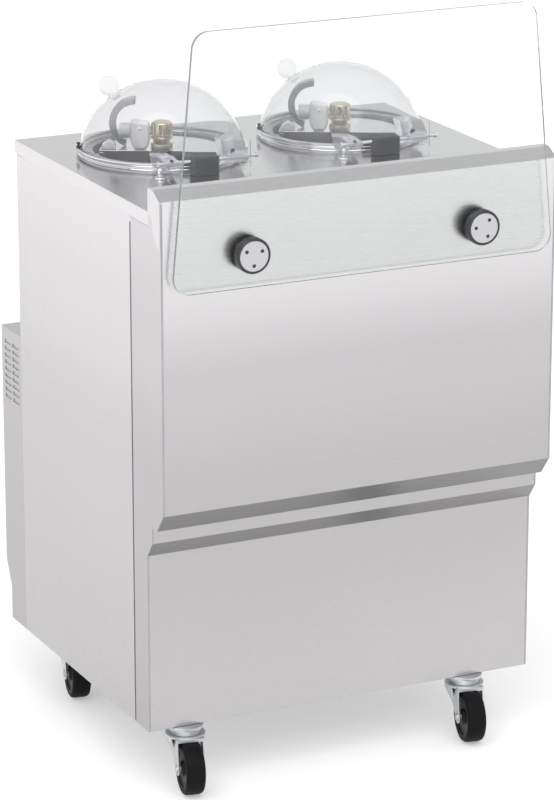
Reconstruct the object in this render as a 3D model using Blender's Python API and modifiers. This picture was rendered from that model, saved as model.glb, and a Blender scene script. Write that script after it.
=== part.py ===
"""Twin-bowl vertical batch freezer with a customer glass, on four swivel casters.

Metres, +Z up. The origin is on the floor under the middle of the machine.
The customer stands at -Y and looks at the glass, the operator stands at +Y.
"""
import math

import bmesh
import bpy
from mathutils import Matrix, Vector

# ---------------------------------------------------------------- driving dimensions
WIDTH = 0.800
BODY_DEPTH = 0.676           # flat front face to rear panel
HOUSING_DEPTH = 0.100        # condenser housing behind the rear panel
CLAMP_REACH = 0.034          # glass clamps ahead of the flat front face
BASE_Z = 0.125               # underside of the cabinet
DECK_Z = 1.122               # top of the deck
FASCIA_RISE = 0.044          # fascia top above the deck
HOUSING_TOP_Z = 0.731
SHEET = 0.002                # sheet metal
GAP = 0.0003                 # clearance between neighbouring pieces
RUNNING = 0.00005            # radial clearance of a shaft that turns in its hole

FRONT_Y = CLAMP_REACH - (CLAMP_REACH + BODY_DEPTH + HOUSING_DEPTH) / 2
REAR_Y = FRONT_Y + BODY_DEPTH
BACK_Y = REAR_Y + HOUSING_DEPTH
HALF = WIDTH / 2
FASCIA_Z = DECK_Z + FASCIA_RISE

# front profile, as setbacks behind the flat face and heights
FASCIA_BACK = 0.052
FASCIA_FRONT = 0.030
FASCIA_BEVEL = 0.016
UNDERCUT_Z = 0.568           # lower edge of the flat face
LIP_Z = 0.531                # bottom of the upper panel
LIP_SETBACK = 0.029
BAND_SETBACK = 0.050
BAND_Z = 0.501
KICK_SETBACK = 0.073
KICK_Z = 0.470

# side of the cabinet
CHEEK_BACK = 0.131           # setback of the cheek's rear edge
PANEL_FRONT = 0.137          # the finger groove lies between these two
PANEL_BACK = 0.640
SKIRT = 0.026                # down-turned edge of the deck
REAR_OVERHANG = 0.008

# glass guard
GLASS_THICK = 0.008
GLASS_STANDOFF = 0.010       # flat face to the back of the glass
GLASS_BOTTOM_Z = 0.980
GLASS_TOP_Z = 1.450
GLASS_BOTTOM_HALF = 0.389
GLASS_TOP_HALF = 0.340
GLASS_CORNER = 0.032
CLAMP_X = 0.2325
CLAMP_Z = 1.0415
CLAMP_RADIUS = 0.033
CLAMP_FACE_RADIUS = 0.0285
SPANNER_CIRCLE = 0.0175      # radius of the circle that the three spanner holes lie on
SPANNER_TURN = {"left": 28, "right": 55}     # degrees, how each face came to rest when tightened
STUD_RADIUS = 0.006
STUD_HOLE = 0.0065

# bowls
BOWL_X = 0.1875
BOWL_Y = FRONT_Y + 0.468
COLLAR_HEIGHT = 0.008
RING_Z = DECK_Z + COLLAR_HEIGHT      # plane where lid and collar meet
COLLAR_RADIUS = 0.156
DECK_HOLE = 0.145
BOWL_INNER = 0.130
BOWL_OUTER = 0.1368
BOWL_DEPTH = 0.183
WORK_Z = RING_Z + 0.017      # plane that the agitator set is laid out from
SHAFT_RADIUS = 0.011

# lids
FLANGE_RADIUS = 0.162
FLANGE_THICK = 0.006
SKIRT_RADIUS = 0.155
SKIRT_HEIGHT = 0.012
DOME_RISE = 0.118
DOME_WALL = 0.003
HINGE_SETBACK = 0.034        # rod ahead of the flange's front edge
ROD_RADIUS = 0.0035
ROD_Y = BOWL_Y - FLANGE_RADIUS - HINGE_SETBACK
ROD_Z = RING_Z + 0.018
KNOB_RADIUS = 0.0195

# casters
WHEEL_RADIUS = 0.050
WHEEL_WIDTH = 0.038
TRAIL = 0.040
AXLE_RADIUS = 0.006
CASTER_X = {"left": -0.320, "right": 0.272}
CASTER_Y = {"front": FRONT_Y + 0.088, "rear": REAR_Y - 0.045}
CASTER_TURN = math.radians(-10.5)    # how the swivels stand after the machine was last rolled
RACE_RADIUS = 0.034
CROWN_RADIUS = 0.038
CROWN_Z = 0.1035             # underside of the fork's crown

SIDES = {"left": -1, "right": 1}

# ---------------------------------------------------------------- scene and materials
for old in list(bpy.data.objects):
    bpy.data.objects.remove(old, do_unlink=True)

machine = bpy.data.collections.new("batch_freezer")
cutters = bpy.data.collections.new("cutters")
for group in (machine, cutters):
    bpy.context.scene.collection.children.link(group)

FINISHES = {
    "satin_steel": ((0.62, 0.61, 0.62), 0.32, 1.0),
    "polished_steel": ((0.72, 0.72, 0.74), 0.12, 1.0),
    "zinc": ((0.55, 0.58, 0.60), 0.38, 1.0),
    "painted_steel": ((0.10, 0.10, 0.11), 0.45, 0.0),
    "cast_iron": ((0.05, 0.05, 0.055), 0.55, 0.2),
    "clear_plastic": ((0.90, 0.92, 0.94), 0.05, 0.0),
    "glass": ((0.85, 0.95, 0.92), 0.02, 0.0),
    "black_plastic": ((0.03, 0.035, 0.04), 0.40, 0.0),
    "white_plastic": ((0.85, 0.85, 0.84), 0.40, 0.0),
    "brass": ((0.62, 0.55, 0.38), 0.25, 1.0),
    "rubber": ((0.012, 0.012, 0.013), 0.70, 0.0),
    "aluminium": ((0.60, 0.61, 0.62), 0.45, 1.0),
    "green_plastic": ((0.05, 0.35, 0.12), 0.35, 0.0),
}


def make_material(name):
    """A Principled material with the finish's colour, roughness and metal value."""
    colour, roughness, metallic = FINISHES[name]
    material = bpy.data.materials.new(name)
    material.use_nodes = True
    shader = material.node_tree.nodes["Principled BSDF"]
    shader.inputs["Base Color"].default_value = (*colour, 1.0)
    shader.inputs["Roughness"].default_value = roughness
    shader.inputs["Metallic"].default_value = metallic
    if name in ("clear_plastic", "glass"):
        shader.inputs["Transmission Weight"].default_value = 1.0
    return material


# ---------------------------------------------------------------- modelling helpers
def add_object(name, mesh, finish):
    """Link a mesh as one named piece, or as a cutter when the finish is None."""
    piece = bpy.data.objects.new(name, mesh)
    (machine if finish else cutters).objects.link(piece)
    if finish:
        mesh.materials.append(make_material(finish))
    else:
        piece.hide_render = True
        piece.display_type = "WIRE"
    return piece


def mesh_from(bm, name):
    """Turn a bmesh into a mesh with its faces pointing out."""
    bmesh.ops.recalc_face_normals(bm, faces=bm.faces)
    mesh = bpy.data.meshes.new(name)
    bm.to_mesh(mesh)
    bm.free()
    return mesh


def add_box(bm, low, high):
    """Add an axis-aligned box between two corners."""
    low, high = Vector(low), Vector(high)
    size = high - low
    place = Matrix.Translation((low + high) / 2) @ Matrix.Diagonal((*size, 1.0))
    bmesh.ops.create_cube(bm, size=1.0, matrix=place)


def boxes(name, corner_pairs, finish=None):
    """One object made of boxes; several boxes are only used for cutters."""
    bm = bmesh.new()
    for low, high in corner_pairs:
        add_box(bm, low, high)
    return add_object(name, mesh_from(bm, name), finish)


def cylinder(name, start, end, radius, finish=None, segments=24):
    """A capped cylinder from start to end."""
    start, end = Vector(start), Vector(end)
    axis = end - start
    turn = axis.to_track_quat("Z", "Y").to_matrix().to_4x4()
    place = Matrix.Translation((start + end) / 2) @ turn
    bm = bmesh.new()
    bmesh.ops.create_cone(bm, cap_ends=True, segments=segments, radius1=radius,
                          radius2=radius, depth=axis.length, matrix=place)
    return add_object(name, mesh_from(bm, name), finish)


def turned(name, profile, finish, centre=(0, 0, 0), direction=(0, 0, 1), steps=32, roll=0.0):
    """A profile of (radius, height) points, outer side first, spun about an axis."""
    bm = bmesh.new()
    closed = profile[0][0] > 0
    points = [bm.verts.new((radius, 0.0, height)) for radius, height in profile]
    for first, second in zip(points, points[1:]):
        bm.edges.new((first, second))
    if closed:
        bm.edges.new((points[-1], points[0]))
    mesh = bpy.data.meshes.new(name)
    bm.to_mesh(mesh)
    bm.free()
    piece = add_object(name, mesh, finish)
    piece.location = centre
    turn = Vector(direction).to_track_quat("Z", "Y").to_matrix() @ Matrix.Rotation(roll, 3, "Z")
    piece.rotation_euler = turn.to_euler()
    spin = piece.modifiers.new("spin", "SCREW")
    spin.steps = spin.render_steps = steps
    spin.use_merge_vertices = True
    spin.merge_threshold = 0.00001
    return piece


def slab(name, outline, across, finish=None, axis="X"):
    """A closed outline of (y, z) points (or (x, z), (x, y)) pushed along the axis."""
    start, end = across
    bm = bmesh.new()
    build = {"X": lambda a, b: (start, a, b), "Y": lambda a, b: (a, start, b),
             "Z": lambda a, b: (a, b, start)}[axis]
    shift = {"X": (end - start, 0, 0), "Y": (0, end - start, 0), "Z": (0, 0, end - start)}[axis]
    face = bm.faces.new([bm.verts.new(build(a, b)) for a, b in outline])
    grown = bmesh.ops.extrude_face_region(bm, geom=[face])
    moved = [item for item in grown["geom"] if isinstance(item, bmesh.types.BMVert)]
    bmesh.ops.translate(bm, verts=moved, vec=shift)
    return add_object(name, mesh_from(bm, name), finish)


def folded_sheet(name, line, across, finish):
    """A line of (y, z) points pushed along X and thickened on its inner side."""
    bm = bmesh.new()
    rows = [[bm.verts.new((x, y, z)) for y, z in line] for x in across]
    for index in range(len(line) - 1):
        near, far = rows
        bm.faces.new((near[index], near[index + 1], far[index + 1], far[index]))
    mesh = bpy.data.meshes.new(name)
    bm.to_mesh(mesh)
    bm.free()
    piece = add_object(name, mesh, finish)
    shell = piece.modifiers.new("thickness", "SOLIDIFY")
    shell.thickness = SHEET
    shell.offset = -1.0
    shell.use_even_offset = True
    return piece


def combine(piece, tool, operation):
    """Cut, join or intersect a piece with a tool object."""
    change = piece.modifiers.new(operation.lower(), "BOOLEAN")
    change.operation = operation
    change.solver = "EXACT"
    change.object = tool
    return piece


def cut(piece, *tools):
    for tool in tools:
        combine(piece, tool, "DIFFERENCE")
    return piece


def join(piece, *tools):
    for tool in tools:
        combine(piece, tool, "UNION")
    return piece


def bevelled(piece, width, segments=2):
    """Round a piece's edges."""
    round_off = piece.modifiers.new("rounding", "BEVEL")
    round_off.width = width
    round_off.segments = segments
    round_off.limit_method = "ANGLE"
    return piece


def running_bore(shaft_radius, facets):
    """Corner radius of a faceted hole whose flats just clear the shaft."""
    return (shaft_radius + RUNNING) / math.cos(math.pi / facets)


def setback(distance):
    """World y of a point that lies this far behind the flat front face."""
    return FRONT_Y + distance


def arc(centre, radius, start_degrees, end_degrees, count):
    """Points along an arc in the plane of an outline."""
    step = (end_degrees - start_degrees) / (count - 1)
    angles = [math.radians(start_degrees + step * index) for index in range(count)]
    return [(centre[0] + radius * math.cos(a), centre[1] + radius * math.sin(a)) for a in angles]


# ---------------------------------------------------------------- cabinet
FLAT_TOP_Z = FASCIA_Z - FASCIA_BEVEL
CHEEK_INNER = HALF - SHEET
SHEET_HALF = CHEEK_INNER - GAP       # front sheets lie between the cheeks
SKIRT_Z = DECK_Z - SKIRT


def front_cheek(side):
    """Profiled plate that closes the side of the folded front."""
    sign = SIDES[side]
    outline = [
        (setback(FASCIA_BACK), FASCIA_Z),
        (setback(FASCIA_FRONT), FASCIA_Z),
        (FRONT_Y, FLAT_TOP_Z),
        (FRONT_Y, UNDERCUT_Z),
        (setback(LIP_SETBACK), LIP_Z),
        (setback(BAND_SETBACK), LIP_Z),
        (setback(BAND_SETBACK), BAND_Z),
        (setback(KICK_SETBACK), KICK_Z),
        (setback(KICK_SETBACK), BASE_Z),
        (setback(CHEEK_BACK), BASE_Z),
        (setback(CHEEK_BACK), SKIRT_Z - GAP),
        (setback(FASCIA_BACK), SKIRT_Z - GAP),
    ]
    return slab(f"front_cheek_{side}", outline, (sign * CHEEK_INNER, sign * HALF), "satin_steel")


def stud_holes(name):
    """Two cutters for the clamp studs, through sheet and glass."""
    tools = []
    for side, sign in SIDES.items():
        tools.append(cylinder(f"{name}_{side}", (sign * CLAMP_X, FRONT_Y - 0.03, CLAMP_Z),
                              (sign * CLAMP_X, FRONT_Y + 0.02, CLAMP_Z), STUD_HOLE, segments=16))
    return tools


def upper_front_panel():
    line = [
        (setback(FASCIA_BACK), SKIRT_Z),
        (setback(FASCIA_BACK), FASCIA_Z),
        (setback(FASCIA_FRONT), FASCIA_Z),
        (FRONT_Y, FLAT_TOP_Z),
        (FRONT_Y, UNDERCUT_Z),
        (setback(LIP_SETBACK), LIP_Z),
        (setback(BAND_SETBACK) - SHEET, LIP_Z),
    ]
    panel = folded_sheet("upper_front_panel", line, (-SHEET_HALF, SHEET_HALF), "satin_steel")
    return cut(panel, *stud_holes("cut_panel_stud"))


def lower_front_panel():
    line = [
        (setback(BAND_SETBACK) + 0.020, LIP_Z - SHEET),
        (setback(BAND_SETBACK), LIP_Z - SHEET),
        (setback(BAND_SETBACK), BAND_Z),
        (setback(KICK_SETBACK), KICK_Z),
        (setback(KICK_SETBACK), BASE_Z + GAP),
    ]
    return folded_sheet("lower_front_panel", line, (-SHEET_HALF, SHEET_HALF), "satin_steel")


def side_panel(side):
    """Removable flat panel between the finger groove and the rear panel's return."""
    sign = SIDES[side]
    near, far = sorted((sign * CHEEK_INNER, sign * HALF))
    return boxes(f"side_panel_{side}",
                 [((near, setback(PANEL_FRONT), BASE_Z), (far, setback(PANEL_BACK), SKIRT_Z - GAP))],
                 "satin_steel")


def deck():
    """Top sheet with its edges turned down and a round hole for each bowl."""
    front = setback(FASCIA_BACK) + GAP
    rear = REAR_Y + REAR_OVERHANG
    top = boxes("deck", [((-HALF, front, SKIRT_Z), (HALF, rear, DECK_Z))], "satin_steel")
    hollow = boxes("cut_deck_inside", [((-CHEEK_INNER, front + SHEET, SKIRT_Z - SHEET),
                                        (CHEEK_INNER, rear - SHEET, DECK_Z - SHEET))])
    cut(top, hollow)
    for side, sign in SIDES.items():
        cut(top, cylinder(f"cut_deck_hole_{side}", (sign * BOWL_X, BOWL_Y, DECK_Z - 0.02),
                          (sign * BOWL_X, BOWL_Y, DECK_Z + 0.02), DECK_HOLE, segments=24))
    return top


AIR_WINDOW = ((-0.29, 0.20), (0.29, 0.66))       # (x, z) corners


def rear_panel():
    """Back sheet with returned side edges and a window for the cooling air."""
    panel = boxes("rear_panel", [((-HALF, setback(PANEL_BACK) + GAP, BASE_Z),
                                  (HALF, REAR_Y, SKIRT_Z - GAP))], "satin_steel")
    inside = boxes("cut_rear_inside", [((-CHEEK_INNER, setback(PANEL_BACK) - 0.01, BASE_Z - 0.01),
                                        (CHEEK_INNER, REAR_Y - SHEET, SKIRT_Z + 0.01))])
    (left, low), (right, high) = AIR_WINDOW
    window = boxes("cut_air_window", [((left, REAR_Y - 0.02, low), (right, REAR_Y + 0.02, high))])
    return cut(panel, inside, window)


def slot_rows(low, high, rows, columns, height, bridge):
    """Rows of slots that fill a rectangle: yields the corners of each slot."""
    pitch_z = (high[1] - low[1]) / rows
    pitch_a = (high[0] - low[0]) / columns
    for row in range(rows):
        for column in range(columns):
            a = low[0] + pitch_a * column
            z = low[1] + pitch_z * row
            yield (a + bridge / 2, z), (a + pitch_a - bridge / 2, z + height)


def rear_housing():
    """Box behind the rear panel, open towards it, with air slots on sides and back."""
    front = REAR_Y + GAP
    slant_y = BACK_Y - 0.025
    outline = [(front, BASE_Z), (slant_y, BASE_Z), (slant_y, 0.193), (BACK_Y, 0.244),
               (BACK_Y, HOUSING_TOP_Z), (front, HOUSING_TOP_Z)]
    inner = [(front - 0.01, BASE_Z + SHEET), (slant_y - SHEET, BASE_Z + SHEET),
             (slant_y - SHEET, 0.194), (BACK_Y - SHEET, 0.245),
             (BACK_Y - SHEET, HOUSING_TOP_Z - SHEET), (front - 0.01, HOUSING_TOP_Z - SHEET)]
    housing = slab("rear_housing", outline, (-HALF, HALF), "satin_steel")
    cut(housing, slab("cut_housing_inside", inner, (-CHEEK_INNER, CHEEK_INNER)))
    side_slots = []
    for low, high in slot_rows((front + 0.008, 0.588), (BACK_Y - 0.012, 0.714), 9, 2, 0.006, 0.008):
        side_slots.append(((-HALF - 0.01, low[0], low[1]), (HALF + 0.01, high[0], high[1])))
    back_slots = []
    for low, high in slot_rows((-0.26, 0.300), (0.26, 0.660), 9, 3, 0.016, 0.030):
        back_slots.append(((low[0], BACK_Y - 0.01, low[1]), (high[0], BACK_Y + 0.01, high[1])))
    return cut(housing, boxes("cut_side_slots", side_slots), boxes("cut_back_slots", back_slots))


TRAY_HEIGHT = 0.040


def base_frame():
    """Folded tray that carries the casters and the machinery."""
    front = setback(KICK_SETBACK) + SHEET + GAP
    rear = REAR_Y - SHEET - GAP
    wall = 0.003
    half = CHEEK_INNER - GAP
    tray = boxes("base_frame", [((-half, front, BASE_Z), (half, rear, BASE_Z + TRAY_HEIGHT))],
                 "satin_steel")
    cut(tray, boxes("cut_tray_inside", [((-half + wall, front + wall, BASE_Z + wall),
                                         (half - wall, rear - wall, BASE_Z + TRAY_HEIGHT + 0.01))]))
    for end, y in CASTER_Y.items():
        for side, x in CASTER_X.items():
            cut(tray, cylinder(f"cut_stem_{end}_{side}", (x, y, BASE_Z - 0.01),
                               (x, y, BASE_Z + 0.01), AXLE_RADIUS + GAP, segments=12))
    return tray


# ---------------------------------------------------------------- customer glass
GLASS_BACK_Y = FRONT_Y - GLASS_STANDOFF
GLASS_FACE_Y = GLASS_BACK_Y - GLASS_THICK


def rounded_corners(corners, radius, count=6):
    """Outline through four corners, given counter-clockwise, with each one rounded."""
    outline = []
    for index, corner in enumerate(corners):
        here = Vector(corner)
        before = (Vector(corners[index - 1]) - here).normalized()
        after = (Vector(corners[(index + 1) % len(corners)]) - here).normalized()
        half_angle = before.angle(after) / 2
        centre = here + (before + after).normalized() * (radius / math.sin(half_angle))
        start = here + before * (radius / math.tan(half_angle)) - centre
        sweep = math.pi - 2 * half_angle
        for step in range(count):
            turn = Matrix.Rotation(sweep * step / (count - 1), 2)
            outline.append(tuple(centre + turn @ start))
    return outline


def glass_guard():
    corners = [(-GLASS_BOTTOM_HALF, GLASS_BOTTOM_Z), (GLASS_BOTTOM_HALF, GLASS_BOTTOM_Z),
               (GLASS_TOP_HALF, GLASS_TOP_Z), (-GLASS_TOP_HALF, GLASS_TOP_Z)]
    outline = rounded_corners(corners, GLASS_CORNER)
    pane = slab("glass_guard", outline, (GLASS_BACK_Y, GLASS_FACE_Y), "glass", axis="Y")
    return cut(pane, *stud_holes("cut_glass_stud"))


def clamp(side):
    """Stand-off behind the glass, black body in front of it, steel face with three holes."""
    x = SIDES[side] * CLAMP_X
    ahead = (0, -1, 0)
    stud_back = -0.012
    spacer_start = GAP
    spacer_end = GLASS_STANDOFF - GAP
    stud_end = GLASS_STANDOFF + GLASS_THICK + 0.006
    turned(f"clamp_standoff_{side}",
           [(0, stud_end), (STUD_RADIUS, stud_end), (STUD_RADIUS, spacer_end),
            (0.026, spacer_end), (0.026, spacer_start), (STUD_RADIUS, spacer_start),
            (STUD_RADIUS, stud_back), (0, stud_back)],
           "black_plastic", (x, FRONT_Y, CLAMP_Z), ahead, steps=12)
    body_start = GLASS_STANDOFF + GLASS_THICK + GAP
    body_end = CLAMP_REACH
    face_radius = CLAMP_FACE_RADIUS
    recess = body_end - 0.003
    turned(f"clamp_body_{side}",
           [(0, recess), (face_radius + GAP, recess), (face_radius + GAP, body_end),
            (CLAMP_RADIUS - 0.003, body_end), (CLAMP_RADIUS, body_end - 0.003),
            (CLAMP_RADIUS, body_start), (STUD_RADIUS + GAP, body_start),
            (STUD_RADIUS + GAP, stud_end + GAP), (0, stud_end + GAP)],
           "black_plastic", (x, FRONT_Y, CLAMP_Z), ahead, steps=20)
    face = turned(f"clamp_face_{side}",
                  [(0, body_end - 0.0005), (face_radius, body_end - 0.0005),
                   (face_radius, recess + GAP), (0, recess + GAP)],
                  "polished_steel", (x, FRONT_Y, CLAMP_Z), ahead, steps=20)
    for index in range(3):
        angle = math.radians(SPANNER_TURN[side] + 120 * index)
        px = x + SPANNER_CIRCLE * math.cos(angle)
        pz = CLAMP_Z + SPANNER_CIRCLE * math.sin(angle)
        cut(face, cylinder(f"cut_spanner_{side}_{index}", (px, FRONT_Y - CLAMP_REACH - 0.01, pz),
                           (px, FRONT_Y, pz), 0.0028, segments=8))


# ---------------------------------------------------------------- bowls and agitators
def collar(side):
    """Polished ring on the deck with a step that carries the bowl's lip."""
    top = COLLAR_HEIGHT - GAP
    bore = BOWL_OUTER + GAP
    profile = [(bore + 0.010, top), (COLLAR_RADIUS - 0.002, top), (COLLAR_RADIUS, top - 0.002),
               (COLLAR_RADIUS, GAP), (bore, GAP), (bore, top - 0.004), (bore + 0.010, top - 0.004)]
    return turned(f"collar_{side}", profile, "polished_steel",
                  (SIDES[side] * BOWL_X, BOWL_Y, DECK_Z), steps=24)


def bowl(side):
    """Jacketed bowl hung by its lip, with a hole for the drive shaft."""
    lip_top = -0.001
    lip_under = -0.004 - GAP + 0.0006
    lip_radius = BOWL_OUTER + 0.0095
    floor_inside = -BOWL_DEPTH
    floor_outside = -BOWL_DEPTH - 0.008
    corner = 0.030
    hole = SHAFT_RADIUS + 0.001
    outer_corner = arc((BOWL_OUTER - corner, floor_outside + corner), corner, 0, -90, 3)
    inner_corner = arc((BOWL_INNER - corner, floor_inside + corner), corner, -90, 0, 3)
    profile = ([(BOWL_INNER, lip_top), (lip_radius, lip_top), (lip_radius, lip_under),
                (BOWL_OUTER, lip_under)] + outer_corner
               + [(hole, floor_outside), (hole, floor_inside)] + inner_corner)
    return turned(f"bowl_{side}", profile, "polished_steel",
                  (SIDES[side] * BOWL_X, BOWL_Y, RING_Z), steps=24)


HUB_TOP = -0.020             # below the working plane
ARM_BOTTOM = RING_Z - BOWL_DEPTH + 0.010 - WORK_Z
AGITATOR_TURN = math.radians(-28)
PLATE_RADIUS = 0.118


def on_shaft(piece, side):
    """Place a piece, modelled about Z with heights from the working plane, on a bowl's axis."""
    piece.location = (SIDES[side] * BOWL_X, BOWL_Y, WORK_Z)
    piece.rotation_euler[2] = AGITATOR_TURN
    return piece


def agitator(side):
    """Hub with a bottom arm, two wall bars, a half-round head plate and a curved wing."""
    bore = SHAFT_RADIUS + GAP
    hub = turned(f"agitator_{side}",
                 [(bore, HUB_TOP), (0.017, HUB_TOP), (0.017, -0.150), (0.024, -0.165),
                  (0.024, ARM_BOTTOM), (bore, ARM_BOTTOM)], "polished_steel", steps=16)
    bar_in, bar_out = 0.108, 0.118
    arm = boxes(f"join_arm_{side}", [((-bar_out, -0.011, ARM_BOTTOM + 0.001),
                                      (bar_out, 0.011, ARM_BOTTOM + 0.013))])
    cut(arm, on_shaft(cylinder(f"cut_arm_bore_{side}", (0, 0, ARM_BOTTOM - 0.01),
                               (0, 0, ARM_BOTTOM + 0.03), 0.020, segments=16), side))
    bars = [boxes(f"join_bar_{sign + 1}_{side}",
                  [((min(sign * bar_in, sign * bar_out), -0.010, ARM_BOTTOM + 0.002),
                    (max(sign * bar_in, sign * bar_out), 0.010, HUB_TOP - 0.001))])
            for sign in (-1, 1)]
    rim = arc((0, 0), PLATE_RADIUS, 0, 180, 13)
    plate = slab(f"join_plate_{side}", [(PLATE_RADIUS, -0.012)] + rim + [(-PLATE_RADIUS, -0.012)],
                 (HUB_TOP - 0.004, HUB_TOP), axis="Z")
    cut(plate, on_shaft(cylinder(f"cut_plate_bore_{side}", (0, 0, HUB_TOP - 0.02),
                                 (0, 0, HUB_TOP + 0.02), 0.014, segments=16), side))
    foot = HUB_TOP - 0.002
    outer = [(-0.042 + 0.060 * x, foot + 0.100 * z) for x, z in arc((0, 0), 1, 180, 90, 7)]
    inner = [(-0.042 + 0.052 * x, foot + 0.092 * z) for x, z in arc((0, 0), 1, 90, 180, 7)]
    wing = slab(f"join_wing_{side}", outer + inner, (0.014, 0.036), axis="Y")
    return on_shaft(join(hub, *[on_shaft(tool, side) for tool in (arm, *bars, plate, wing)]), side)


def scraper(side):
    """White plastic block that stands on the head plate beside the nut."""
    block = boxes(f"scraper_{side}", [((-0.062, -0.013, HUB_TOP + GAP), (-0.0225, 0.011, 0.042))],
                  "white_plastic")
    return on_shaft(bevelled(block, 0.005, segments=1), side)


def shaft_nut(side):
    """Flanged brass nut that holds the agitator on its shaft."""
    flange_low, head_low, head_top = 0.002, 0.006, 0.034
    nut = turned(f"shaft_nut_{side}",
                 [(0, head_top), (0.016, head_top), (0.0185, head_top - 0.003), (0.0185, head_low),
                  (0.021, head_low), (0.021, flange_low), (0.0105, flange_low),
                  (0.0105, HUB_TOP + GAP), (0, HUB_TOP + GAP)], "brass", steps=16)
    return on_shaft(nut, side)


MOTOR_TOP_Z = RING_Z - BOWL_DEPTH - 0.008 - GAP


def drive_shaft(side):
    """Shaft from the gearbox, through the bowl's floor, up inside the hub."""
    x = SIDES[side] * BOWL_X
    return cylinder(f"drive_shaft_{side}", (x, BOWL_Y, MOTOR_TOP_Z - 0.045),
                    (x, BOWL_Y, WORK_Z + HUB_TOP - 0.001), SHAFT_RADIUS, "polished_steel")


def gearmotor(side):
    """Vertical gearmotor flanged to the underside of the bowl."""
    bore = running_bore(SHAFT_RADIUS, 16)
    profile = [(bore, 0), (0.062, 0), (0.062, -0.010), (0.048, -0.014), (0.048, -0.040),
               (0.070, -0.052), (0.070, -0.130), (0.058, -0.142), (0.058, -0.300),
               (0.050, -0.312), (0, -0.312), (0, -0.046), (bore, -0.046)]
    return turned(f"gearmotor_{side}", profile, "painted_steel",
                  (SIDES[side] * BOWL_X, BOWL_Y, MOTOR_TOP_Z), steps=16)


# ---------------------------------------------------------------- lids
def dome_arc(radius, base, rise, count):
    """Points of a spherical cap from its rim up to its top."""
    sphere = (radius ** 2 + rise ** 2) / (2 * rise)
    centre = base + rise - sphere
    start = math.degrees(math.asin((base - centre) / sphere))
    return [(max(r, 0.0), z) for r, z in arc((0, centre), sphere, start, 90, count)]


def dome_lid(side):
    """Clear dome with a flat flange and two hinge lugs that reach the rod."""
    x = SIDES[side] * BOWL_X
    bottom = GAP
    inner_radius = SKIRT_RADIUS - DOME_WALL
    outside = dome_arc(SKIRT_RADIUS, SKIRT_HEIGHT, DOME_RISE, 6)
    inside = dome_arc(inner_radius, SKIRT_HEIGHT, DOME_RISE - DOME_WALL, 6)
    outside[-1] = (0, SKIRT_HEIGHT + DOME_RISE)
    inside[-1] = (0, SKIRT_HEIGHT + DOME_RISE - DOME_WALL)
    profile = (outside[::-1] + [(SKIRT_RADIUS, FLANGE_THICK), (FLANGE_RADIUS, FLANGE_THICK),
                                (FLANGE_RADIUS, bottom), (inner_radius, bottom)] + inside)
    lid = turned(f"dome_lid_{side}", profile, "clear_plastic", (x, BOWL_Y, RING_Z), steps=28)
    core = cylinder(f"cut_lug_core_{side}", (x, BOWL_Y, RING_Z - 0.02),
                    (x, BOWL_Y, RING_Z + 0.06), SKIRT_RADIUS - DOME_WALL / 2, segments=56)
    lugs = {"right": (0.038, 0.084, 0.055), "left": (-0.086, -0.056, 0.037)}
    for lug_name, (low, high, rise) in lugs.items():
        knuckle = 0.008
        outline = [(ROD_Y - knuckle, ROD_Z - knuckle), (ROD_Y + knuckle, ROD_Z - knuckle),
                   (ROD_Y + 0.020, RING_Z + GAP), (BOWL_Y - 0.10, RING_Z + GAP),
                   (BOWL_Y - 0.10, RING_Z + rise), (ROD_Y + 0.014, RING_Z + rise),
                   (ROD_Y - knuckle, ROD_Z + 0.010)]
        foot = slab(f"join_lug_{lug_name}_{side}", outline, (x + low, x + high))
        bore = cylinder(f"cut_lug_bore_{lug_name}_{side}", (x + low - 0.01, ROD_Y, ROD_Z),
                        (x + high + 0.01, ROD_Y, ROD_Z), ROD_RADIUS + GAP, segments=12)
        cut(foot, core, bore)
        join(lid, foot)
    return lid


KNOB_TURN = math.radians(115)        # towards the operator's right hand
KNOB_TILT = math.radians(45)


def lid_knob(side):
    """Clear ball on a short stem, square to the dome."""
    sphere = (SKIRT_RADIUS ** 2 + DOME_RISE ** 2) / (2 * DOME_RISE)
    centre = Vector((SIDES[side] * BOWL_X, BOWL_Y, RING_Z + SKIRT_HEIGHT + DOME_RISE - sphere))
    outward = Vector((math.cos(KNOB_TURN) * math.cos(KNOB_TILT),
                      math.sin(KNOB_TURN) * math.cos(KNOB_TILT), math.sin(KNOB_TILT)))
    stem_radius = 0.008
    ball_centre = 0.025
    ball = arc((0, ball_centre), KNOB_RADIUS, 90, -63, 7)
    ball[0] = (0, ball_centre + KNOB_RADIUS)
    profile = ball + [(stem_radius, 0.001 + GAP), (0, 0.001 + GAP)]
    return turned(f"lid_knob_{side}", profile, "clear_plastic", centre + outward * sphere,
                  outward, steps=14)


def hinge(side):
    """Steel rod that turns with the lid in a black block on the deck."""
    x = SIDES[side] * BOWL_X
    cylinder(f"hinge_rod_{side}", (x - 0.098, ROD_Y, ROD_Z), (x + 0.106, ROD_Y, ROD_Z),
             ROD_RADIUS, "polished_steel", segments=16)
    block = boxes(f"hinge_block_{side}",
                  [((x - 0.041, ROD_Y - 0.014, DECK_Z + GAP), (x + 0.022, ROD_Y + 0.010,
                                                              ROD_Z + 0.016))], "black_plastic")
    bevelled(block, 0.002, segments=1)
    return cut(block, cylinder(f"cut_block_bore_{side}", (x - 0.05, ROD_Y, ROD_Z),
                               (x + 0.05, ROD_Y, ROD_Z), running_bore(ROD_RADIUS, 16),
                               segments=16))


# ---------------------------------------------------------------- machinery
def compressor():
    """Welded compressor shell standing in the tray."""
    radius = 0.085
    dome = arc((radius - 0.04, 0.20), 0.04, 90, 0, 4)
    base = arc((radius - 0.03, 0.03), 0.03, 0, -90, 3)
    return turned("compressor", [(0, 0.24)] + dome + base + [(0, 0.0)], "cast_iron",
                  (-0.19, setback(0.30), BASE_Z + 0.003 + GAP), steps=16)


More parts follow.
